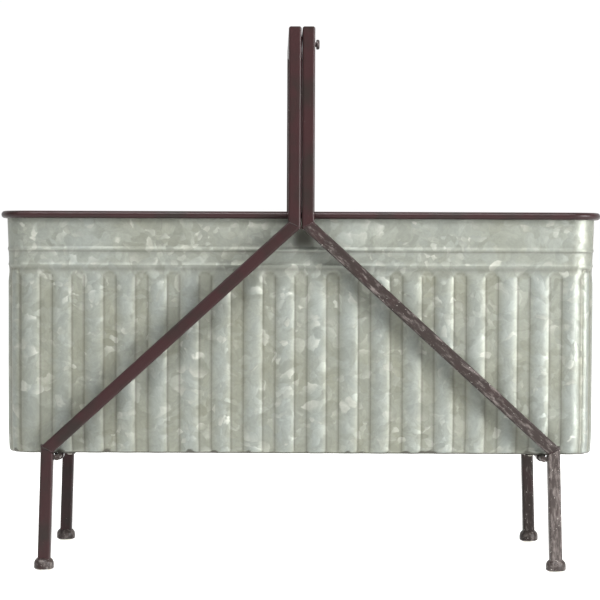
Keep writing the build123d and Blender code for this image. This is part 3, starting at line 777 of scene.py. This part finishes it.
class PLANTER_OT_seams(bpy.types.Operator):
    """Build the folded lock seam in the middle of each end"""
    bl_idname = "planter.seams"
    bl_label = "Lock seams"

    def execute(self, context):
        sizes = context.scene.planter_tub
        outline = Outline()
        rows = wall_rows(outline.rim_top)
        across = np.linspace(-sizes.seam / 2, sizes.seam / 2, 19)
        # Flat fold with rolled edges, one of them stepped where the sheets hook together.
        fold = np.interp(np.abs(across) / MM, [0, 3.4, 4.1, 4.5], [1.15, 1.1, 0.6, -0.2]) * MM
        fold = fold - 0.25 * MM * (across > 2.6 * MM) * (across < 3.6 * MM)
        from_bead = (outline.rim_top - rows - sizes.bead_drop) / (sizes.bead_height / 2)
        bead = 0.8 * MM * np.clip(1 - from_bead ** 2, 0, 1)
        stand_out = fold[None, :] + bead[:, None] - hem_tuck(rows, rows[0])[:, None]
        # Painted shade along the seam's rolled edges.
        painted_seam_shade = np.zeros(stand_out.shape) + hump(np.abs(across) - 3.3 * MM, 0.5 * MM) * 0.4
        crest = np.full(stand_out.shape, 0.6)
        for side, middle in (("right", outline.half), ("left", -outline.half)):
            seam = wrapped_sheet(f"lock_seam_{side}", outline, middle + across, rows, stand_out,
                                 crest, painted_seam_shade, sizes.sheet)
            dress(seam, "tub", GALVANISED, f"end_seam_{side}", smooth=24)
        return {"FINISHED"}


class PLANTER_OT_rim(bpy.types.Operator):
    """Build the rolled rim round the top edge"""
    bl_idname = "planter.rim"
    bl_label = "Rolled rim"

    def execute(self, context):
        sizes = context.scene.planter_tub
        outline = Outline()
        radius = sizes.rim_tube / 2
        out = sizes.rim_out - radius + sizes.recess
        stops = wall_columns(outline, 0, outline.total)[:-1]
        line, outward = outline.walk(stops)
        places = np.column_stack([line + outward * out, np.full(len(stops), outline.rim_top - radius)])
        # Hand-rolled edge: it wanders inwards by up to 0.3 mm.
        wander = (unevenness(places, 0.09, 2.0) - 1) * 0.15 * MM
        places[:, :2] += outward * wander[:, None]
        outward = np.column_stack([outward, np.zeros(len(stops))])
        rim = ring_along("rolled_rim", places, outward, (0, 0, 1), radius, sides=24)
        co = points_of(rim)
        mark_paint(rim, 0.02 + 0.25 * unevenness(co, 0.05, 7.0), 0)
        dress(rim, "tub", PAINTED, "top_rim", smooth=60)
        return {"FINISHED"}


def base_order(ring):
    """Count of each vertex of a new circle in the turn from +X towards +Y."""
    co = points_of(ring)
    turn = np.arctan2(co[:, 1], co[:, 0]) / (2 * np.pi) * len(co)
    return np.round(turn).astype(int) % len(co)


class PLANTER_OT_base(bpy.types.Operator):
    """Build the pressed base with its turned-up flange"""
    bl_idname = "planter.base"
    bl_label = "Base"

    def execute(self, context):
        sizes = context.scene.planter_tub
        outline = Outline()
        low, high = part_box("tub_base")
        # The plate is cut to the wall's own wavy outline, 0.2 mm inside its foot.
        stops = wall_columns(outline, -outline.half, 3 * outline.half)[:-1]
        foot = pressed(outline, stops, wall_rows(outline.rim_top))[0][0] - 0.2 * MM
        line, out = outline.walk(stops)
        edge = np.column_stack([line + out * foot[:, None], np.full(len(stops), low.z)])
        outline.lean_ends(edge, line)
        base = primitive(bpy.ops.mesh.primitive_circle_add, "pressed_base", vertices=len(stops),
                         fill_type="NGON")
        put_points(base, edge[base_order(base)])
        whole(base)
        bpy.ops.mesh.normals_make_consistent(inside=False)
        bpy.ops.mesh.extrude_region_move(TRANSFORM_OT_translate={"value": (0, 0, sizes.plate)})
        bpy.ops.mesh.select_all(action="SELECT")
        bpy.ops.mesh.normals_make_consistent(inside=False)
        top = low.z + sizes.plate
        # Two insets leave a ring as wide as the flange, which is then drawn up.
        pick(base, "FACE", lambda f: f.normal.z > 0.9)
        bpy.ops.mesh.inset(thickness=0.3 * MM)
        bpy.ops.mesh.inset(thickness=sizes.sheet)
        bpy.ops.object.mode_set(mode="OBJECT")
        middle = max((f for f in base.data.polygons if f.normal.z > 0.9), key=lambda f: f.area)
        inner_edge, plate = set(middle.vertices), middle.index
        pick(base, "FACE", lambda f: (f.normal.z > 0.9 and f.index != plate
                                      and inner_edge & set(f.vertices)))
        bpy.ops.mesh.extrude_region_move(TRANSFORM_OT_translate={"value": (0, 0, high.z - top)})
        bpy.ops.object.mode_set(mode="OBJECT")
        modify(base, "BEVEL", width=0.25 * MM, segments=2, limit_method="ANGLE",
               angle_limit=math.radians(50))
        mark(base, "crest", np.full(len(base.data.vertices), 0.4))
        mark(base, "fold", np.zeros(len(base.data.vertices)))
        dress(base, "tub", GALVANISED, "tub_base", smooth=35)
        return {"FINISHED"}


# ---------------------------------------------------------------- operators: the half-frames
def bar_corners(side):
    """Corner points of the front row of bars of one half-frame, from the floor up."""
    sizes = bpy.context.scene.planter_frame
    name = "left" if side < 0 else "right"
    low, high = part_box(f"{name}_front_upright")
    across, y = (low + high).x / 2, (low + high).y / 2
    tube = high.y - low.y
    rod_low, rod_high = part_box(f"{name}_pivot_rod")
    rod = (rod_low + rod_high) / 2
    offset = (rod_high.z - rod_low.z) / 2 + sizes.weld_gap + tube / 2
    drop = (sizes.bend_rise - offset * math.sin(sizes.splay)) / math.cos(sizes.splay)
    lower_x = abs(rod.x) - drop * math.sin(sizes.splay) + offset * math.cos(sizes.splay)
    lower_z = rod.z + sizes.bend_rise
    foot_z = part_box(f"{name}_front_leg")[0].z
    foot_x = lower_x + (lower_z - foot_z) * math.tan(sizes.splay)
    bar_low, bar_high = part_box(f"{name}_crossbar")
    rim_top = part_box("top_rim")[1].z
    return {
        "foot": Vector((side * foot_x, y, foot_z)),
        "lower": Vector((side * lower_x, y, lower_z)),
        "upper": Vector((across, y, rim_top - sizes.bend_drop)),
        "top": Vector((across, y, (bar_low + bar_high).z / 2)),
        "tube": tube,
    }


def mitre(corner, towards, other):
    """Point and direction of the plane that halves a corner and faces the first bar."""
    return corner, (towards - corner).normalized() - (other - corner).normalized()


def square_bar(name, start, end, tube, cuts, seed):
    """Square tube between two points: edges rounded, ends cut by planes, faces a little uneven."""
    edge = bpy.context.scene.planter_frame.round_edge
    run = (end - start).normalized()
    across = Vector((1, 0, 0)) if abs(run.y) > 0.5 else Vector((0, 1, 0))
    side = across.cross(run).normalized()
    bar = primitive(bpy.ops.mesh.primitive_cube_add, name, size=1)
    bar.matrix_world = (Matrix.Translation((start + end) / 2)
                        @ Matrix((side, across, run)).transposed().to_4x4()
                        @ Matrix.Diagonal((tube, tube, (end - start).length + 4 * tube, 1)))
    settle(bar)
    mesh = bar.data
    pick(bar, "EDGE", lambda e: abs((mesh.vertices[e.vertices[0]].co - mesh.vertices[e.vertices[1]].co)
                                    .normalized().dot(run)) > 0.99)
    bpy.ops.mesh.bevel(offset=edge, segments=5, profile=0.5)
    # Lines on the flat faces, so that the wear along the edges can fade out over them.
    for direction in (side, across):
        for step in (-1, 1):
            bpy.ops.mesh.select_all(action="SELECT")
            bpy.ops.mesh.bisect(plane_co=(start + direction * step * (tube / 2 - edge - 1.1 * MM))[:],
                                plane_no=direction[:])
    count = max(2, int((end - start).length / (11 * MM)))
    for k in range(1, count):
        bpy.ops.mesh.select_all(action="SELECT")
        bpy.ops.mesh.bisect(plane_co=start.lerp(end, k / count)[:], plane_no=run[:])
    for point, facing in cuts:
        bpy.ops.mesh.select_all(action="SELECT")
        bpy.ops.mesh.bisect(plane_co=point[:], plane_no=facing[:], clear_inner=True, use_fill=True)
    bpy.ops.object.mode_set(mode="OBJECT")
    co = points_of(bar)
    # The mark for edges is whole on the rounding and weaker on the lines beside it.
    past_flat = np.minimum(*(np.abs((co - np.array(start)) @ np.array(direction)) - tube / 2 + edge
                             for direction in (side, across)))
    bar_edge = np.maximum(np.clip(past_flat / (0.29 * edge), 0, 1), (past_flat > -0.1 * MM) * 0.45)
    inwards = np.array((start + end) / 2) - co
    inwards -= np.outer(inwards @ np.array(run), np.array(run))
    inwards /= np.maximum(np.linalg.norm(inwards, axis=1), 1e-9)[:, None]
    dip = (unevenness(co, 0.022, seed) + 1) * 0.5 * 0.10 * MM
    # The dips fade out over the last 6 mm before a cut, so that the bars still meet.
    keep = np.ones(len(co))
    for point, facing in cuts:
        from_cut = np.abs((co - np.array(point)) @ np.array(facing.normalized()))
        keep = np.minimum(keep, np.clip(from_cut / (6 * MM), 0, 1))
    put_points(bar, co + inwards * (dip * keep)[:, None])
    mark_paint(bar, 0, bar_edge, run)
    return bar


def bore(handle, side):
    """Cut the lock pin's way into a handle: through both walls on the right, one on the left."""
    sizes = bpy.context.scene.planter_frame
    low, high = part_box("right_crossbar")
    hollow = sizes.bush_body + 0.4 * MM
    first = sizes.keeper if side < 0 else sizes.pin_shank + PIN_PLAY
    start, near, far = low.x - 0.4 * MM, low.x + sizes.tube_wall, high.x - sizes.tube_wall
    way = [(0, start), (first, start), (first, near), (hollow, near), (hollow, far)]
    if side < 0:
        way += [(0, far)]
    else:
        way += [(sizes.bush_body, far), (sizes.bush_body, high.x + MM), (0, high.x + MM)]
    cutter = spun("cutter", [(radius, side * x) for radius, x in way],
                  (0, 0, (low + high).z / 2), axis="X")
    modify(handle, "BOOLEAN", object=cutter, operation="DIFFERENCE")
    bpy.data.objects.remove(cutter)


# How far each bar's paint is rubbed, at its top and at its bottom.
WEAR = {
    "left_front_upright": (0.10, 0.08),
    "left_front_brace": (0.02, 0.12),
    "left_front_leg": (0.10, 0.30),
    "right_front_upright": (0.20, 0.25),
    "right_front_brace": (0.78, 0.84),
    "right_front_leg": (0.93, 1.0),
    "left_back_upright": (0.2, 0.2),
    "left_back_brace": (0.3, 0.4),
    "left_back_leg": (0.05, 0.25),
    "right_back_upright": (0.2, 0.2),
    "right_back_brace": (0.4, 0.5),
    "right_back_leg": (0.5, 0.7),
    "left_crossbar": (0.2, 0.2),
    "right_crossbar": (0.2, 0.2),
}


def mark_wear(bar, node):
    """Rub a bar's paint as the table says, changing evenly from its top to its bottom."""
    co = points_of(bar)
    high, low = WEAR[node]
    t = (co[:, 2].max() - co[:, 2]) / max(np.ptp(co[:, 2]), 1e-6)
    mark(bar, "wear", high + (low - high) * t)


class PLANTER_OT_bars(bpy.types.Operator):
    """Build the legs, braces, uprights and handles of both half-frames"""
    bl_idname = "planter.bars"
    bl_label = "Square bars"

    def execute(self, context):
        for side_name, side in SIDES.items():
            p = bar_corners(side)
            tube = p["tube"]
            back = Vector((0, -2 * p["top"].y, 0))
            far_top = p["top"] + back
            floor_cut = (p["foot"], Vector((0, 0, 1)))
            plans = {
                "leg": (p["foot"], p["lower"], [floor_cut, mitre(p["lower"], p["foot"], p["upper"])]),
                "brace": (p["lower"], p["upper"], [mitre(p["lower"], p["upper"], p["foot"]),
                                                   mitre(p["upper"], p["lower"], p["top"])]),
                "upright": (p["upper"], p["top"], [mitre(p["upper"], p["top"], p["lower"]),
                                                   mitre(p["top"], p["upper"], far_top)]),
            }
            for part, (start, end, cuts) in plans.items():
                bar = square_bar(f"{side_name}_front_{part}_bar", start, end, tube, cuts, 3.0 * side)
                other = twin(bar, f"{side_name}_back_{part}_bar", back)
                # An upright is mitred towards the handle, so the back one is mirrored.
                if part == "upright":
                    co = points_of(other)
                    co[:, 1] = 2 * (p["top"].y + back.y) - co[:, 1]
                    put_points(other, co)
                    other.data.flip_normals()
                for face, piece in (("front", bar), ("back", other)):
                    node = f"{side_name}_{face}_{part}"
                    mark_wear(piece, node)
                    dress(piece, f"{side_name}_frame", PAINTED, node, smooth=35)
            handle = square_bar(f"{side_name}_handle_bar", p["top"], far_top, tube,
                                [mitre(p["top"], far_top, p["upper"]),
                                 mitre(far_top, p["top"], p["upper"] + back)], 5.0 * side)
            bore(handle, side)
            mark_grain(handle, (0, 1, 0))
            mark_wear(handle, f"{side_name}_crossbar")
            dress(handle, f"{side_name}_frame", PAINTED, f"{side_name}_crossbar", smooth=35)
        return {"FINISHED"}


def rounded_square(share, half, edge):
    """Point at a share of the way round a square with rounded corners."""
    turn = 2 * math.pi * share
    x, y = math.cos(turn), math.sin(turn)
    reach = half / max(abs(x), abs(y))
    x, y = x * reach, y * reach
    core = half - edge
    over = Vector((max(abs(x) - core, 0), max(abs(y) - core, 0)))
    if over.x > 0 and over.y > 0:
        over *= edge / over.length
        x, y = math.copysign(core + over.x, x), math.copysign(core + over.y, y)
    return x, y


class PLANTER_OT_weld_beads(bpy.types.Operator):
    """Lay a bead of weld round each bend of the half-frames"""
    bl_idname = "planter.weld_beads"
    bl_label = "Weld beads"

    def execute(self, context):
        sizes = context.scene.planter_frame
        for side_name, side in SIDES.items():
            p = bar_corners(side)
            for bend, here, there, beyond in (("upper", p["upper"], p["lower"], p["top"]),
                                              ("lower", p["lower"], p["upper"], p["foot"])):
                corner, facing = mitre(here, there, beyond)
                facing.normalize()
                run = (there - here).normalized()
                across = Vector((0, 1, 0))
                flank = across.cross(run).normalized()
                # The bead's middle runs round just under the bar's skin, in the plane of the mitre.
                places = []
                half, count = p["tube"] / 2 - 0.55 * MM, 96
                for k in range(count):
                    a, b = rounded_square(k / count, half, sizes.round_edge)
                    at = flank * a + across * b
                    places.append(corner + at - run * (at.dot(facing) / run.dot(facing)))
                places = np.array(places)
                outward = places - np.array(corner)
                outward /= np.linalg.norm(outward, axis=1)[:, None]
                bead = ring_along(f"{side_name}_front_{bend}_bead", places, outward, facing,
                                  sizes.bead, sides=10, ripple=0.16, ripples=30)
                mark_paint(bead, 0.35 + 0.5 * unevenness(points_of(bead), 0.004, 5.0), 0.5)
                other = twin(bead, f"{side_name}_back_{bend}_bead", (0, -2 * p["top"].y, 0))
                for piece in (bead, other):
                    dress(piece, f"{side_name}_frame", PAINTED, smooth=60)
        return {"FINISHED"}


class PLANTER_OT_feet(bpy.types.Operator):
    """Turn the bell-shaped feet and their glides"""
    bl_idname = "planter.feet"
    bl_label = "Feet and glides"

    def execute(self, context):
        # Radius and height in millimetres, from the middle of the bottom round to the top.
        cup = [(0, 1.6), (8.6, 1.6), (9.5, 1.85), (9.95, 2.5), (10.08, 3.4), (10.08, 6.0), (10.0, 7.6),
               (9.7, 9.0), (9.0, 10.3), (8.2, 11.3), (7.3, 12.1), (6.6, 12.6), (0, 12.6)]
        pad = [(0, 0), (5.6, 0), (6.9, 0.25), (7.8, 0.75), (8.2, 1.35), (8.2, 1.75), (0, 1.75)]
        kinds = (("foot", "foot_cup", PAINTED, cup), ("glide", "glide_pad", GLIDE, pad))
        for side_name, side in SIDES.items():
            foot = bar_corners(side)["foot"]
            fronts = [spun(f"{side_name}_front_{part}", [(r * MM, z * MM) for r, z in profile],
                           (foot.x, foot.y, 0)) for part, _, _, profile in kinds]
            for (part, node, slot, _), front in zip(kinds, fronts):
                back = twin(front, f"{side_name}_back_{part}", (0, -2 * foot.y, 0))
                for face, piece in (("front", front), ("back", back)):
                    if slot == PAINTED:
                        co = points_of(piece)
                        wear = np.clip(0.88 + 0.4 * unevenness(co, 0.006, 9.0 + side), 0, 1)
                        mark_paint(piece, wear, (co[:, 2] < 4 * MM) * 0.8)
                    dress(piece, f"{side_name}_frame", slot, f"{side_name}_{face}_{node}", smooth=40)
        return {"FINISHED"}


class PLANTER_OT_pivots(bpy.types.Operator):
    """Build the cross rods that the half-frames turn about, and their welds"""
    bl_idname = "planter.pivots"
    bl_label = "Pivot rods and welds"

    def execute(self, context):
        for side_name, side in SIDES.items():
            low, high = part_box(f"{side_name}_pivot_rod")
            half_length = (high.y - low.y) / 2
            rod = primitive(bpy.ops.mesh.primitive_cylinder_add, f"{side_name}_cross_rod", vertices=40,
                            radius=(high.z - low.z) / 2, depth=2 * half_length,
                            location=(low + high) / 2, rotation=(math.pi / 2, 0, 0))
            settle(rod)
            # Only the round edges have their middles at the ends.
            pick(rod, "EDGE", lambda e: abs(sum(rod.data.vertices[v].co.y for v in e.vertices)) / 2
                 > half_length - 1e-6)
            bpy.ops.mesh.bevel(offset=0.5 * MM, segments=3)
            bpy.ops.object.mode_set(mode="OBJECT")
            mark_paint(rod, 0.8, 0.3, (0, 1, 0))
            dress(rod, f"{side_name}_frame", PAINTED, f"{side_name}_pivot_rod", smooth=35)
            low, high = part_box(f"{side_name}_rod_welds")
            blobs = []
            for face, sign in FACES.items():
                size = Vector((0.68 * (high.x - low.x), 5.0 * MM, 0.7 * (high.z - low.z)))
                middle = (low + high) / 2
                at = Vector((middle.x + side * 0.9 * MM, sign * (high.y - size.y / 2), middle.z))
                blob = primitive(bpy.ops.mesh.primitive_uv_sphere_add, f"{side_name}_{face}_weld",
                                 segments=24, ring_count=14, radius=0.5)
                blob.matrix_world = Matrix.Translation(at) @ Matrix.Diagonal((*size, 1))
                settle(blob)
                co = points_of(blob)
                lumps = 0.98 - 0.13 * np.abs(unevenness(co, 0.0022, 3.0))
                put_points(blob, np.array(at) + (co - np.array(at)) * lumps[:, None])
                blobs.append(blob)
            weld = joined(blobs, f"{side_name}_rod_weld_beads")
            mark_paint(weld, 1.05, 0.9)
            dress(weld, f"{side_name}_frame", PAINTED, f"{side_name}_rod_welds", smooth=60)
        return {"FINISHED"}


# ---------------------------------------------------------------- operators: fittings
class PLANTER_OT_straps(bpy.types.Operator):
    """Round the edges of the saddle straps and dome their rivets"""
    bl_idname = "planter.straps"
    bl_label = "Saddle straps and rivets"

    def execute(self, context):
        for side_name in SIDES:
            for face_name in FACES:
                node = f"saddle_strap_{side_name}_{face_name}"
                strap = twin(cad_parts[node], f"{side_name}_{face_name}_saddle")
                # The copy keeps none of the marks and the parent of the part's own strap.
                for key in list(strap.keys()):
                    del strap[key]
                strap.parent = None
                whole(strap)
                bpy.ops.mesh.remove_doubles(threshold=1e-6)
                bpy.ops.object.mode_set(mode="OBJECT")
                modify(strap, "BEVEL", width=0.3 * MM, segments=2, limit_method="ANGLE",
                       angle_limit=math.radians(50))
                mark_paint(strap, 0.5, 0.2)
                dress(strap, "tub", PAINTED, node, smooth=35)
        low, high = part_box("strap_rivets")
        strap_low, strap_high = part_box("saddle_strap_left_front")
        # Radius and height in millimetres: the dome from its lowest point, and the closed head
        # from its highest. The shank between them joins the two.
        dome = [(0, 0), (1.2, 0.05), (2.2, 0.35), (2.9, 0.85), (3.2, 1.5), (1.5, 1.5)]
        head = [(1.5, -1.0), (2.6, -1.0), (2.55, -0.3), (2.1, 0), (0, 0)]
        profile = [(r * MM, low.z + z * MM) for r, z in dome]
        profile += [(r * MM, high.z + z * MM) for r, z in head]
        outer, inner = strap_low.x + RIVET_INSET, strap_high.x - RIVET_INSET
        y = (strap_low + strap_high).y / 2
        first = spun("rivet", profile, (outer, y, 0), steps=28)
        rivets = [first]
        for x in (outer, inner, -outer, -inner):
            for move in (0, -2 * y):
                if (x, move) != (outer, 0):
                    rivets.append(twin(first, "rivet_copy", (x - outer, move, 0)))
        dress(joined(rivets, "domed_rivets"), "tub", ZINC, "strap_rivets", smooth=35)
        return {"FINISHED"}


class PLANTER_OT_lock_pin(bpy.types.Operator):
    """Turn the push pin that locks the handles, with its bush and collar"""
    bl_idname = "planter.lock_pin"
    bl_label = "Lock pin"

    def execute(self, context):
        sizes = context.scene.planter_frame
        low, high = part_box("lock_pin")
        z = (low + high).z / 2
        r_head = (high.z - low.z) / 2
        head = high.x - sizes.pin_head
        shank = sizes.pin_shank
        pin = [(0, low.x), (shank - 0.5 * MM, low.x), (shank, low.x + 0.5 * MM), (shank, head),
               (r_head - 0.7 * MM, head), (r_head, head + 0.6 * MM), (r_head, high.x - 1.3 * MM),
               (r_head - 0.3 * MM, high.x - 0.6 * MM), (r_head - 0.9 * MM, high.x - 0.2 * MM),
               (r_head - 1.8 * MM, high.x - 0.03 * MM), (0, high.x)]
        dress(spun("push_pin", pin, (0, 0, z), axis="X"), "lock_pin", DARK, "lock_pin", smooth=35)
        low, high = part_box("lock_pin_bush")
        hole, flange = shank + PIN_PLAY, (high.z - low.z) / 2
        back = high.x - sizes.bush_flange
        bush = [(hole, low.x), (sizes.bush_body, low.x), (sizes.bush_body, back), (flange, back),
                (flange, high.x - 0.3 * MM), (flange - 0.35 * MM, high.x), (hole, high.x)]
        dress(spun("pin_bush", bush, (0, 0, z), axis="X"), "right_frame", DARK,
              "lock_pin_bush", smooth=35)
        low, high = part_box("lock_pin_collar")
        ring = (high.z - low.z) / 2
        collar = [(shank, low.x), (ring - 0.2 * MM, low.x), (ring, low.x + 0.2 * MM),
                  (ring, high.x - 0.2 * MM), (ring - 0.2 * MM, high.x), (shank, high.x)]
        dress(spun("pin_collar", collar, (0, 0, z), axis="X"), "lock_pin", DARK,
              "lock_pin_collar", smooth=35)
        return {"FINISHED"}


# ---------------------------------------------------------------- operators: the studio
def softbox(name, power):
    """A large soft light that points at the tub."""
    place, width, height = LAMPS[name]
    light = bpy.data.lights.new(name, "AREA")
    light.shape = "RECTANGLE"
    light.size = width
    light.size_y = height
    light.energy = power
    lamp = bpy.data.objects.new(name, light)
    bpy.context.scene.collection.objects.link(lamp)
    lamp.location = place
    lamp.visible_camera = False
    lamp.rotation_euler = (Vector(LAMP_AIM) - Vector(place)).to_track_quat("-Z", "Y").to_euler()


class PLANTER_OT_stage(bpy.types.Operator):
    """Lay the pale floor, hang the soft lights and set up the camera"""
    bl_idname = "planter.stage"
    bl_label = "Studio"

    def execute(self, context):
        sizes = context.scene.planter_stage
        floor = primitive(bpy.ops.mesh.primitive_plane_add, "studio_floor", size=120)
        floor.data.materials.append(finish("white_floor_painted_glow"))
        world = bpy.data.worlds.new("studio")
        context.scene.world = world
        world.use_nodes = True
        tree = world.node_tree
        tree.nodes.clear()
        # White behind the planter, fading past its sides to grey in front, dimmest on the left.
        way = add(tree, "TexCoord").outputs["Generated"]
        behind = add(tree, "VectorMath", {0: way, 1: (0, 1, 0)}, operation="DOT_PRODUCT")
        white = add(tree, "MapRange", {"Value": behind.outputs["Value"], "From Min": -0.15,
                                       "From Max": 0.40, "To Min": 0.15, "To Max": 1.02},
                    interpolation_type="SMOOTHSTEP")
        near = add(tree, "VectorMath", {0: way, 1: (-0.72, -0.69, -0.05)}, operation="DOT_PRODUCT")
        dim = add(tree, "MapRange", {"Value": near.outputs["Value"], "From Min": 0.66,
                                     "From Max": 0.97, "To Min": 1.0, "To Max": 0.55},
                  interpolation_type="SMOOTHSTEP")
        level = add(tree, "Math", {0: white, 1: dim}, operation="MULTIPLY")
        sky = add(tree, "Background", {"Color": (1, 1, 1, 1), "Strength": level})
        add(tree, "OutputWorld", {"Surface": sky})
        softbox("key_light", sizes.key)
        softbox("edge_light", sizes.edge)
        softbox("top_light", sizes.top)
        lens = bpy.data.cameras.new("camera")
        lens.sensor_width = 36
        lens.lens = sizes.lens
        lens.shift_x = sizes.shift
        camera = bpy.data.objects.new("camera", lens)
        context.scene.collection.objects.link(camera)
        camera.matrix_world = (Matrix.Translation(sizes.eye)
                               @ Matrix.Rotation(math.pi / 2 - sizes.down, 4, "X")
                               @ Matrix.Rotation(sizes.roll, 4, "Z"))
        context.scene.camera = camera
        context.scene.view_settings.view_transform = "Standard"
        return {"FINISHED"}


class PLANTER_PT_panel(bpy.types.Panel):
    """Sizes, colours and steps of the planter"""
    bl_idname = "PLANTER_PT_panel"
    bl_label = "Tub planter"
    bl_space_type = "VIEW_3D"
    bl_region_type = "UI"
    bl_category = "Planter"

    def draw(self, context):
        for group in GROUPS:
            box = self.layout.box()
            for key in GROUPS[group].__annotations__:
                box.prop(getattr(context.scene, group), key)
        for step in STEPS:
            self.layout.operator(step.bl_idname)


GROUPS = {"planter_tub": PlanterTub, "planter_frame": PlanterFrame,
          "planter_finish": PlanterFinish, "planter_stage": PlanterStage}
STEPS = (PLANTER_OT_walls, PLANTER_OT_seams, PLANTER_OT_rim, PLANTER_OT_base, PLANTER_OT_bars,
         PLANTER_OT_weld_beads, PLANTER_OT_feet, PLANTER_OT_pivots, PLANTER_OT_straps,
         PLANTER_OT_lock_pin, PLANTER_OT_stage)


def register():
    """Make the planter's settings, steps and panel known to the scene."""
    for item in (*GROUPS.values(), *STEPS, PLANTER_PT_panel):
        bpy.utils.register_class(item)
    for name, group in GROUPS.items():
        setattr(bpy.types.Scene, name, PointerProperty(type=group))


def unregister():
    """Take the planter's settings, steps and panel away again."""
    for name in GROUPS:
        delattr(bpy.types.Scene, name)
    for item in reversed((*GROUPS.values(), *STEPS, PLANTER_PT_panel)):
        bpy.utils.unregister_class(item)


def main():
    """Build the planter piece by piece."""
    register()
    bpy.ops.planter.walls()
    bpy.ops.planter.seams()
    bpy.ops.planter.rim()
    bpy.ops.planter.base()
    bpy.ops.planter.bars()
    bpy.ops.planter.weld_beads()
    bpy.ops.planter.feet()
    bpy.ops.planter.pivots()
    bpy.ops.planter.straps()
    bpy.ops.planter.lock_pin()
    bpy.ops.planter.stage()


if __name__ == "__main__":
    main()
